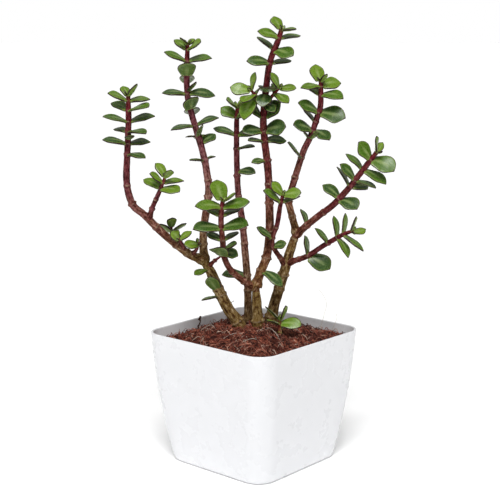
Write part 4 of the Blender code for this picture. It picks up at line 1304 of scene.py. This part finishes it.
@dataclass
class StemWork:
    """All the stems: their lines, the joints along them, and one smooth skin for each grown piece."""

    mix: MixBed
    line_step: float = 0.0015
    tube_step: float = 0.001
    tube_sides: int = 18
    fork_swelling: float = 0.42
    foot_swelling: float = 0.16
    foot_reach: float = 0.006
    usual_radius: float = 0.0025
    ring_reach: float = 0.00042
    ring_tilt: float = 0.00035
    skin_rise: float = 0.00006
    joint_reach: float = 0.0012
    joint_rise: float = 0.00034
    joint_dip: float = 0.00008
    leaf_scar_rise: float = 0.00060
    leaf_base_rise: float = 0.00034
    voxel: float = 0.00042
    green_end: float = 0.006
    dome_length: float = 0.0022
    above_pair: float = 0.0012
    seed: int = 5
    lines: dict[str, GrowthLine] = field(default_factory=dict)
    joints: dict[str, list[Joint]] = field(default_factory=dict)

    def grow(self) -> None:
        """Works out the line of each stem, a branch starting on its parent's line."""
        for name, (parent, leaves_at, foot, end, route) in STEMS.items():
            controls = [plant_point(*place) for place in route]
            if parent is not None:
                line = self.lines[parent]
                controls.insert(0, line.at(line.distance_at(leaves_at)))
            self.lines[name] = GrowthLine(smooth_line(controls, self.line_step), foot * MM, end * MM)

    def add_leafy_joint(self, stem: str, distance: float, facing: Vector) -> None:
        """Notes a joint that leaves grow from."""
        self.joints.setdefault(stem, []).append(Joint(distance, facing, True))

    def end_at(self, stem: str, distance: float) -> None:
        """Ends a stem just above its top pair of leaves."""
        line = self.lines[stem]
        line.stop = min(line.total, distance + self.above_pair)

    def add_bare_joints(self) -> None:
        """Adds the joints that have lost their leaves, at a stem's usual spacing, each turned to the last."""
        draw = random.Random(self.seed)
        for name, line in self.lines.items():
            taken = sorted(self.joints.get(name, []), key=lambda joint: joint.distance)
            spacing = STEM_SKINS[name].joint_spacing
            made: list[Joint] = []
            start = line.radius(0) + spacing * 0.6
            turned = draw.random() < 0.5
            distance = start
            while distance < line.total - spacing * 0.3:
                if all(abs(distance - joint.distance) > spacing * 0.55 for joint in taken):
                    axis = line.direction(distance)
                    facing = square_to(ACROSS if turned else TOWARD, axis)
                    facing = Matrix.Rotation(draw.gauss(0, 0.25), 3, axis) @ facing
                    made.append(Joint(distance, facing, False))
                turned = not turned
                distance += spacing * draw.uniform(0.55, 1.45)
            self.joints[name] = taken + made

    def tube_radius(self, name: str, distance: float) -> float:
        """A stem's half-thickness, with the swelling where it leaves its parent and its rounded end."""
        line = self.lines[name]
        radius = line.radius(distance)
        parent = STEMS[name][0]
        if parent is not None:
            parent_line = self.lines[parent]
            thick = parent_line.radius(parent_line.distance_at(STEMS[name][1]))
            past = max(0.0, distance - thick * 0.8)
            radius += radius * self.fork_swelling * math.exp(-((past / (thick * 0.9)) ** 2))
        else:
            soil = line.distance_at(2)
            radius += radius * self.foot_swelling * math.exp(-((distance - soil) / self.foot_reach) ** 2)
        left = (line.stop - distance) / self.dome_length
        if 0 <= left < 1 and line.stop < line.total:
            radius *= max(0.25, math.sqrt(1 - (1 - left) ** 2))
        return radius

    def build_piece(self, piece: str, stems: tuple[str, ...],
                    material: bpy.types.Material) -> bpy.types.Object:
        """Builds one grown piece.

        Args:
            piece: The CAD node that it stands for.
            stems: The stems in it.
            material: Its finish.

        Returns:
            The piece.
        """
        maker = MeshMaker()
        for name in stems:
            line = self.lines[name]
            count = max(3, round(line.stop / self.tube_step))
            spots = [line.stop * i / count for i in range(count + 1)]
            radii = [self.tube_radius(name, spot) for spot in spots]
            maker.tube([line.at(spot) for spot in spots], radii, self.tube_sides)
        made = maker.finish(f"{piece}_bark", material)
        skin = made.modifiers.new("Skin", "REMESH")
        skin.mode = "VOXEL"
        skin.voxel_size = self.voxel
        soften = made.modifiers.new("Soften", "SMOOTH")
        soften.factor = 0.5
        soften.iterations = 4
        settle(made)
        self.detail(made, stems)
        made.data.shade_smooth()
        declare(made, Slot.STEM, (piece,))
        return made

    def detail(self, made: bpy.types.Object, stems: tuple[str, ...]) -> None:
        """Raises the joints, scars and wrinkles of a piece, and stores what its bark reads.

        Args:
            made: The piece.
            stems: The stems in it.
        """
        mesh = made.data
        count = len(mesh.vertices)
        places = np.empty(count * 3)
        mesh.vertices.foreach_get("co", places)
        places = places.reshape(-1, 3)
        normals = np.empty(count * 3)
        mesh.vertices.foreach_get("normal", normals)
        normals = normals.reshape(-1, 3)
        nearest = np.full(count, np.inf)
        bark = np.zeros((count, 3))
        values = {key: np.zeros(count) for key in ("age", "dust", "ring", "scar")}
        lift = np.zeros(count)
        points = [Vector(place) for place in places]
        for name in stems:
            samples = StemSamples(self.lines[name])
            radii = np.array([self.tube_radius(name, distance) for distance in samples.distances])
            found = [samples.tree.find(point) for point in points]
            index = np.array([item[1] for item in found])
            gap = np.array([item[2] for item in found]) - radii[index]
            closer = gap < nearest
            nearest[closer] = gap[closer]
            chosen = index[closer]
            away = places[closer] - samples.places[chosen]
            x = np.einsum("ij,ij->i", away, samples.firsts[chosen])
            y = np.einsum("ij,ij->i", away, samples.seconds[chosen])
            along = samples.distances[chosen]
            self.detail_stem(name, samples, closer, x, y, along, radii[chosen], bark, values, lift)
        wrinkle = self.wrinkles(bark, values["age"])
        places = places + normals * (lift + wrinkle)[:, None]
        mesh.vertices.foreach_set("co", places.ravel())
        for key, numbers in values.items():
            mesh.attributes.new(key, "FLOAT", "POINT").data.foreach_set("value", numbers)
        mesh.attributes.new("bark", "FLOAT_VECTOR", "POINT").data.foreach_set("vector", bark.ravel())
        mesh.update()

    def detail_stem(self, name: str, samples: StemSamples, chosen: np.ndarray, x: np.ndarray, y: np.ndarray,
                    along: np.ndarray, radii: np.ndarray, bark: np.ndarray, values: dict[str, np.ndarray],
                    lift: np.ndarray) -> None:
        """Works out the details of the points that belong to one stem.

        Args:
            name: The stem.
            samples: Its samples.
            chosen: Which points of the piece belong to it.
            x: How far each is from the line, in the line's first direction.
            y: The same in its second direction.
            along: How far each is along the line.
            radii: The stem's half-thickness there.
            bark: Filled with the place round and along the stem, in millimetres.
            values: Filled with the numbers that the bark reads.
            lift: Filled with how far each point is raised.
        """
        skin = STEM_SKINS[name]
        line = self.lines[name]
        share = along / line.total
        angle = np.arctan2(y, x)
        bark[chosen] = np.stack([x, y, along], axis=1) / MM
        ripe = skin.age_foot + (skin.age_end - skin.age_foot) * share
        values["age"][chosen] = ripe * np.clip((line.stop - along) / self.green_end, 0, 1)
        values["dust"][chosen] = skin.dust * np.sin(np.pi * np.clip(share * 1.05, 0, 1)) ** 0.6
        ring = np.zeros(len(along))
        scar = np.zeros(len(along))
        raised = np.full(len(along), self.skin_rise)
        size = radii / self.usual_radius
        for joint in self.joints.get(name, []):
            away = along - joint.distance
            turn = samples.turn_of(joint)
            tilt = self.ring_tilt * np.cos(angle - turn)
            ring = np.maximum(ring, np.exp(-(((away - tilt) / self.ring_reach) ** 2)) * 0.75)
            raised += np.exp(-((away / self.joint_reach) ** 2)) * self.joint_rise * np.clip(size, 0.6, 1.5)
            raised -= np.exp(-(((away - 0.0019) / 0.0010) ** 2)) * self.joint_dip
            for side in (0.0, math.pi):
                round_way = np.angle(np.exp(1j * (angle - turn - side))) * radii
                bump = np.exp(-((round_way / 0.0013) ** 2) - (((away - 0.0002) / 0.0008) ** 2))
                raised += bump * (self.leaf_base_rise if joint.leafy else self.leaf_scar_rise)
                if not joint.leafy:
                    mark = np.exp(-((round_way / 0.0009) ** 4) - ((away / 0.0005) ** 4)) * 0.7
                    scar = np.maximum(scar, mark)
        values["ring"][chosen] = ring
        values["scar"][chosen] = scar
        lift[chosen] = raised

    @staticmethod
    def wrinkles(bark: np.ndarray, age: np.ndarray) -> np.ndarray:
        """The long wrinkles and lumps of the bark, deeper with age."""
        raised = np.empty(len(age))
        for i, (x, y, along) in enumerate(bark):
            fine = noise.noise(Vector((x * 1.1, y * 1.1, along * 0.17)))
            lumps = noise.noise(Vector((x * 0.28, y * 0.28, along * 0.12 + 31)))
            raised[i] = fine * 0.00010 * (0.25 + age[i]) + lumps * 0.00022 * (0.3 + age[i])
        return raised

    def build(self) -> None:
        """Builds every grown piece."""
        material = Bark().material()
        self.add_bare_joints()
        for piece, stems in GROWN_PIECES.items():
            self.build_piece(piece, stems, material)


# ---------------------------------------------------------------- leaves


@dataclass
class Ring:
    """A ring of leaves: its place on the stem and the way its pair of leaves faces."""

    line: GrowthLine
    height: float
    leaves: list[LeafRow]
    is_tip: bool
    distance: float = field(init=False)
    centre: Vector = field(init=False)
    axis: Vector = field(init=False)
    facing: Vector = field(init=False)

    def __post_init__(self) -> None:
        """Finds the ring's place and its pair's direction."""
        self.distance = self.line.distance_at(self.height)
        self.centre = self.line.at(self.distance)
        self.axis = self.line.direction(self.distance)
        facing = square_to(plant_vector(*self.leaves[0][:3]), self.axis)
        if len(self.leaves) > 1:
            second = square_to(plant_vector(*self.leaves[1][:3]), self.axis)
            if (facing - second).length > 0.5:
                facing = square_to(facing - second, self.axis)
        self.facing = facing


@dataclass
class LeafShape:
    """A leaf's outline, section and thickness, as shares of its width and length."""

    stalk: float = 0.0006
    ruffle: float = 0.00022
    unevenness: float = 0.00022
    stations: tuple[float, ...] = (0.0, 0.05, 0.11, 0.18, 0.26, 0.35, 0.45, 0.55, 0.65, 0.74, 0.82, 0.885,
                                   0.935, 0.968, 0.989, 1.0)
    outline: tuple[tuple[float, float], ...] = ((0.0, 0.60), (0.08, 0.68), (0.18, 0.79), (0.30, 0.90),
                                                (0.42, 0.98), (0.52, 1.0), (0.60, 0.97), (0.70, 0.87),
                                                (0.80, 0.69), (0.88, 0.46), (0.94, 0.25), (0.975, 0.11),
                                                (1.0, 0.01))
    body: tuple[tuple[float, float], ...] = ((0.0, 0.85), (0.12, 0.95), (0.35, 1.0), (0.65, 0.86),
                                             (0.85, 0.62), (0.95, 0.42), (1.0, 0.20))
    around: int = 16
    thickness: float = 0.0025
    usual_roll: float = 26.0
    arch: float = 0.16
    bend: float = 0.45
    foot_roll: float = 0.6
    skew: float = 0.075

    def half_at(self, share: float) -> float:
        """The outline's half-width at a share of the length, against the widest."""
        places, widths = zip(*self.outline)
        return float(np.interp(share, places, widths))

    def body_at(self, share: float) -> float:
        """The thickness at a share of the length, against the thickest."""
        places, widths = zip(*self.body)
        return float(np.interp(share, places, widths))


@dataclass
class Leaf:
    """One leaf: where it grows, how far it reaches, and how it differs from its neighbours."""

    ring: Ring
    side: int
    row: LeafRow
    age: float
    draw: random.Random
    shape: LeafShape

    def add_to(self, maker: MeshMaker) -> None:
        """Adds the leaf's mesh.

        Args:
            maker: What it is added to.
        """
        shape, draw, ring = self.shape, self.draw, self.ring
        across_mm, toward_mm, up_mm, wide, *roll = self.row
        vector = plant_vector(across_mm, toward_mm, up_mm)
        width = wide * MM * draw.uniform(0.97, 1.06)
        outward = ring.facing * self.side
        stem = ring.line.radius(ring.distance)
        foot = ring.centre + outward * (stem + shape.stalk)
        root = ring.centre + outward * stem * 0.55
        rise = (ring.axis * shape.arch + outward * shape.arch / 2) * vector.length
        bend = foot + vector * shape.bend + rise
        end = foot + vector
        turn_degrees = roll[0] if roll else shape.usual_roll
        cup = draw.gauss(0.05, 0.05) + 0.05 * (1 - self.age)
        wave = draw.uniform(0.2, 1.0) * shape.ruffle
        phase = draw.uniform(0, 6.28)
        sickle = draw.choice((-1, 1)) * draw.uniform(0.01, 0.07) * width
        skew = math.copysign(shape.skew, sickle) * draw.uniform(0.3, 1.0)
        lean = draw.gauss(0, 0.06)
        seed = draw.uniform(0, 100)
        thick = shape.thickness * draw.uniform(0.88, 1.12) * min(1.0, 0.55 + width / 0.022)
        tone = draw.random()
        starts: list[int] = []
        for share in shape.stations:
            place = root * (1 - share) ** 2 + bend * 2 * share * (1 - share) + end * share**2
            along = ((bend - root) * (1 - share) + (end - bend) * share).normalized()
            face = ring.axis - along * ring.axis.dot(along)
            if face.length < 0.05:
                face = -outward
            face.normalize()
            across = along.cross(face)
            turned = min(1.0, shape.foot_roll + 2 * (1 - shape.foot_roll) * share)
            roll_now = math.radians(turn_degrees) * turned * across.dot(TOWARD) + lean * share
            face = face * math.cos(roll_now) + across * math.sin(roll_now)
            across = along.cross(face)
            slant = skew * math.sin(math.pi * share)
            halves = [width * shape.half_at(min(1.0, share + way * slant)) / 2 for way in (-1, 1)]
            if share < 0.25:
                halves = [min(half, stem * 1.7 + 0.0014 + width * share * 1.9) for half in halves]
            body = thick * shape.body_at(share)
            place = place + across * sickle * math.sin(math.pi * share)
            self.add_row(maker, starts, place, across, face, halves, body, share, cup, wave, phase, seed,
                         vector.length, tone)
        count = shape.around
        for low, high in zip(starts, starts[1:]):
            maker.band(low, high, count)
        maker.lid(starts[0], count, True)
        maker.lid(starts[-1], count)

    def add_row(self, maker: MeshMaker, starts: list[int], place: Vector, across: Vector, face: Vector,
                halves: list[float], body: float, share: float, cup: float, wave: float, phase: float,
                seed: float, length: float, tone: float) -> None:
        """Adds one section of the leaf.

        Args:
            maker: What it is added to.
            starts: The first points of the sections so far, which this one's joins.
            place: The middle of the section.
            across: The way of its width.
            face: The way of its upper face.
            halves: Its width on either side of the midline.
            body: Its thickness.
            share: Its share of the leaf's length.
            cup: How far its margins curl up.
            wave: How far its margins wave.
            phase: Where the wave starts.
            seed: Where its roughness is taken from.
            length: The leaf's length.
            tone: The leaf's own tone.
        """
        ring: list[Vector] = []
        rims: list[float] = []
        sides: list[float] = []
        uppers: list[float] = []
        for number in range(self.shape.around):
            angle = 2 * math.pi * number / self.shape.around
            wide, tall = math.cos(angle), math.sin(angle)
            half = halves[0] if wide > 0 else halves[1]
            deep = math.copysign(abs(tall) ** 0.8, tall) * body / 2 * (0.85 if tall > 0 else 1.15)
            curl = cup * half * (wide**2 - 0.3) * min(1.0, 3 * share)
            swing = math.sin(phase + 9 * share + 2.2 * math.copysign(1, wide))
            flutter = wave * wide**2 * swing * min(1.0, 2 * share)
            uneven = noise.noise(Vector((wide * 1.6 + seed, share * 3.2, 0.4))) * self.shape.unevenness
            reach = half * (1 + 0.045 * noise.noise(Vector((seed, share * 3.5, math.copysign(4, wide)))))
            ring.append(place + across * wide * reach + face * (deep + curl + flutter + uneven))
            rims.append(min((1 - abs(wide)) * half, (1 - share) * length * 0.9 + 0.00008) / MM)
            sides.append(abs(wide))
            uppers.append(min(1.0, max(0.0, 0.5 + tall)))
        count = self.shape.around
        starts.append(maker.add_points(ring, rim=rims, side=sides, upper=uppers, along=[share] * count,
                                       age=[self.age] * count, tone=[tone] * count))


@dataclass
class Foliage:
    """All the leaves: one piece for each leaf node, with the small leaves that are only in the looks."""

    stems: StemWork
    shape: LeafShape = field(default_factory=LeafShape)
    seed: int = 91
    ripening: float = 0.036
    bud_spread: tuple[float, float] = (0.0010, 0.0016)
    bud_rise: tuple[float, float] = (0.0030, 0.0044)
    bud_width: tuple[float, float] = (2.2, 3.0)

    def rings_of(self, stem: str, rows: list[tuple[float, list[LeafRow]]], is_tip: bool) -> list[Ring]:
        """The rings of one node, lowest first."""
        line = self.stems.lines[stem]
        return [Ring(line, height, leaves, is_tip) for height, leaves in sorted(rows)]

    def age_of(self, ring: Ring, draw: random.Random) -> float:
        """How old a ring's leaves are, by how far they are from the growing end."""
        below = (ring.line.total - ring.distance) / self.ripening
        return min(1.0, max(0.0, below + draw.gauss(0, 0.07)))

    def plan(self) -> None:
        """Tells the stems where the leafy joints are."""
        for table, is_tip in ((TIPS, True), (RINGS, False)):
            for stem, rows in table.values():
                rings = self.rings_of(stem, rows, is_tip)
                for ring in rings:
                    self.stems.add_leafy_joint(stem, ring.distance, ring.facing)
                if is_tip:
                    self.stems.end_at(stem, rings[-1].distance)

    def add_bud(self, maker: MeshMaker, ring: Ring, draw: random.Random) -> None:
        """Adds the pair of leaves that is just opening at the end of a stem."""
        beside = ring.axis.cross(ring.facing)
        for side in (1, -1):
            outward = beside * side * draw.uniform(*self.bud_spread)
            reach = (outward + ring.axis * draw.uniform(*self.bud_rise)) / MM
            width = draw.uniform(*self.bud_width)
            row = (reach.dot(ACROSS), reach.dot(TOWARD), reach.dot(UP), width, 0)
            top = Ring(ring.line, ring.height, [row], True)
            top.facing = beside * side
            Leaf(top, 1, row, 0.0, draw, self.shape).add_to(maker)

    @staticmethod
    def round_off(leaves: bpy.types.Object) -> None:
        """Rounds the edges of a piece's leaves."""
        rounding = leaves.modifiers.new("Round", "SUBSURF")
        rounding.levels = 1
        rounding.render_levels = 1

    def build_node(self, number: int, name: str, stem: str, rows: list[tuple[float, list[LeafRow]]],
                   is_tip: bool, material: bpy.types.Material) -> bpy.types.Object:
        """Builds the leaves of one node.

        Args:
            number: The node's place in the order of building, which seeds its chances.
            name: The node's name.
            stem: Its stem.
            rows: Its rings and their leaves.
            is_tip: Whether it closes the end of its stem.
            material: Its finish.

        Returns:
            The piece.
        """
        draw = random.Random(self.seed + number)
        maker = MeshMaker()
        rings = self.rings_of(stem, rows, is_tip)
        for ring in rings:
            for side, row in zip((1, -1), ring.leaves):
                Leaf(ring, side, row, self.age_of(ring, draw), draw, self.shape).add_to(maker)
        if is_tip:
            self.add_bud(maker, rings[-1], draw)
        made = maker.finish(f"{name}_blades" if is_tip else f"{name}_pair", material)
        self.round_off(made)
        declare(made, Slot.YOUNG_LEAF if is_tip else Slot.LEAF, (name,))
        return made

    def build_leaflets(self, node: str, rows: list[tuple[str, float, LeafRow]],
                       material: bpy.types.Material) -> None:
        """Builds the small single leaves along one grown piece.

        Args:
            node: The node of the stems they grow on.
            rows: Each one's stem, height and reach.
            material: Their finish.
        """
        draw = random.Random(f"{self.seed} {node}")
        maker = MeshMaker()
        for stem, height, row in rows:
            ring = Ring(self.stems.lines[stem], height, [row], False)
            Leaf(ring, 1, row, self.age_of(ring, draw), draw, self.shape).add_to(maker)
        made = maker.finish(f"{node}_leaflets", material)
        self.round_off(made)
        declare(made, Slot.LEAF, (node,))

    def build(self) -> None:
        """Builds the small single leaves and every leaf node."""
        material = LeafSkin().material()
        for node, leaflets in LEAFLETS.items():
            self.build_leaflets(node, leaflets, material)
        number = 0
        for table, is_tip in ((TIPS, True), (RINGS, False)):
            for name, (stem, rows) in table.items():
                self.build_node(number, name, stem, rows, is_tip, material)
                number += 1


# ---------------------------------------------------------------- studio


def stand(made: bpy.types.Object, place: Vector, facing: Vector) -> None:
    """Puts a lamp or the camera in the scene, at a place and facing a way."""
    made.location = place
    made.rotation_mode = "QUATERNION"
    made.rotation_quaternion = facing.to_track_quat("-Z", "Y")
    bpy.context.scene.collection.objects.link(made)


@dataclass
class Softbox:
    """A soft lamp: its name, place, size and strength."""

    name: str
    place: Place
    size: float
    watts: float
    colour: Colour = (1.0, 1.0, 1.0)

    def build(self, target: Vector) -> None:
        """Puts the lamp in the scene, facing a place."""
        lamp = bpy.data.lights.new(self.name, "AREA")
        lamp.shape = "SQUARE"
        lamp.size = self.size
        lamp.energy = self.watts
        lamp.color = self.colour
        stand(bpy.data.objects.new(self.name, lamp), Vector(self.place), target - Vector(self.place))


@dataclass
class Studio:
    """The pale floor, the soft lamps and the camera."""

    camera_place: Place = (0.579, -0.667, 0.331)
    camera_aim: Place = (-0.007, 0.003, 0.168)
    lens: float = 82.44
    sensor: float = 36.0
    backdrop: float = 1.0
    horizon: float = 0.44
    zenith: float = 0.32
    fade_from: float = 0.04
    fade_to: float = 0.30
    key_side: Place = (0.27, -0.31, 0.60)
    key_strength: float = 2.6
    key_spread: float = 26.0
    key_distance: float = 3.0
    box_size: float = 0.5
    box_watts: float = 1.6
    box_aim: float = 0.16
    floor_half: float = 150.0
    floor_drop: float = 0.0002

    def build_camera(self) -> None:
        """Makes the camera, looking over the pot's front corner."""
        camera = bpy.data.cameras.new("camera")
        camera.lens = self.lens
        camera.sensor_width = self.sensor
        made = bpy.data.objects.new("camera", camera)
        stand(made, Vector(self.camera_place), Vector(self.camera_aim) - Vector(self.camera_place))
        bpy.context.scene.camera = made

    def build_floor(self) -> None:
        """Makes the floor."""
        maker = MeshMaker()
        ways = ((-1, -1), (1, -1), (1, 1), (-1, 1))
        square = [Vector((x * self.floor_half, y * self.floor_half, -self.floor_drop)) for x, y in ways]
        maker.lid(maker.add_points(square), len(square))
        floor = maker.finish("floor", StudioFloor().material(), smooth=False)

    def build_sky(self) -> None:
        """Makes the sky: plain white behind the plant, but a dimmer room for the light that falls on it."""
        world = bpy.data.worlds.new("studio")
        world.use_nodes = True
        tree = world.node_tree
        direction = tree.nodes.new("ShaderNodeTexCoord").outputs["Generated"]
        parts = tree.nodes.new("ShaderNodeSeparateXYZ")
        tree.links.new(direction, parts.inputs["Vector"])
        fade = tree.nodes.new("ShaderNodeMapRange")
        fade.interpolation_type = "SMOOTHSTEP"
        fade.inputs["From Min"].default_value = self.fade_from
        fade.inputs["From Max"].default_value = self.fade_to
        fade.inputs["To Min"].default_value = self.horizon
        fade.inputs["To Max"].default_value = self.zenith
        tree.links.new(parts.outputs["Z"], fade.inputs["Value"])
        seen = tree.nodes.new("ShaderNodeMix")
        seen.inputs[3].default_value = self.backdrop
        tree.links.new(tree.nodes.new("ShaderNodeLightPath").outputs["Is Camera Ray"], seen.inputs[0])
        tree.links.new(fade.outputs["Result"], seen.inputs[2])
        tree.links.new(seen.outputs[0], tree.nodes["Background"].inputs["Strength"])
        tree.nodes["Background"].inputs["Color"].default_value = (1.0, 1.0, 1.0, 1.0)
        bpy.context.scene.world = world

    def build_key(self) -> None:
        """Makes the large, far key light."""
        lamp = bpy.data.lights.new("key", "SUN")
        lamp.energy = self.key_strength
        lamp.angle = math.radians(self.key_spread)
        made = bpy.data.objects.new("key", lamp)
        stand(made, Vector(self.key_side).normalized() * self.key_distance, -Vector(self.key_side))

    def build_light(self) -> None:
        """Makes the sky and the lamps."""
        self.build_sky()
        self.build_key()
        for name, place in (("left_box", (-0.75, -1.15, 0.9)), ("top_box", (0.1, -0.5, 1.5))):
            Softbox(name, place, self.box_size, self.box_watts).build(UP * self.box_aim)

    def build(self) -> None:
        """Makes the whole studio."""
        self.build_camera()
        self.build_floor()
        self.build_light()
        bpy.context.scene.view_settings.view_transform = "Standard"


def corners(box: tuple[Vector, Vector]) -> list[list[float]]:
    """A box's corners as plain lists."""
    return [[float(value) for value in corner] for corner in box]


def main() -> None:
    """Builds the studio, the pot, the mix, the stems and the leaves."""
    logging.basicConfig(level=logging.INFO, format="%(message)s")
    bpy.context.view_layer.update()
    Studio().build()
    planter = Planter()
    planter.build()
    mix = MixBed(planter)
    mix.build()
    stems = StemWork(mix)
    stems.grow()
    foliage = Foliage(stems)
    foliage.plan()
    stems.build()
    foliage.build()


if __name__ == "__main__":
    main()
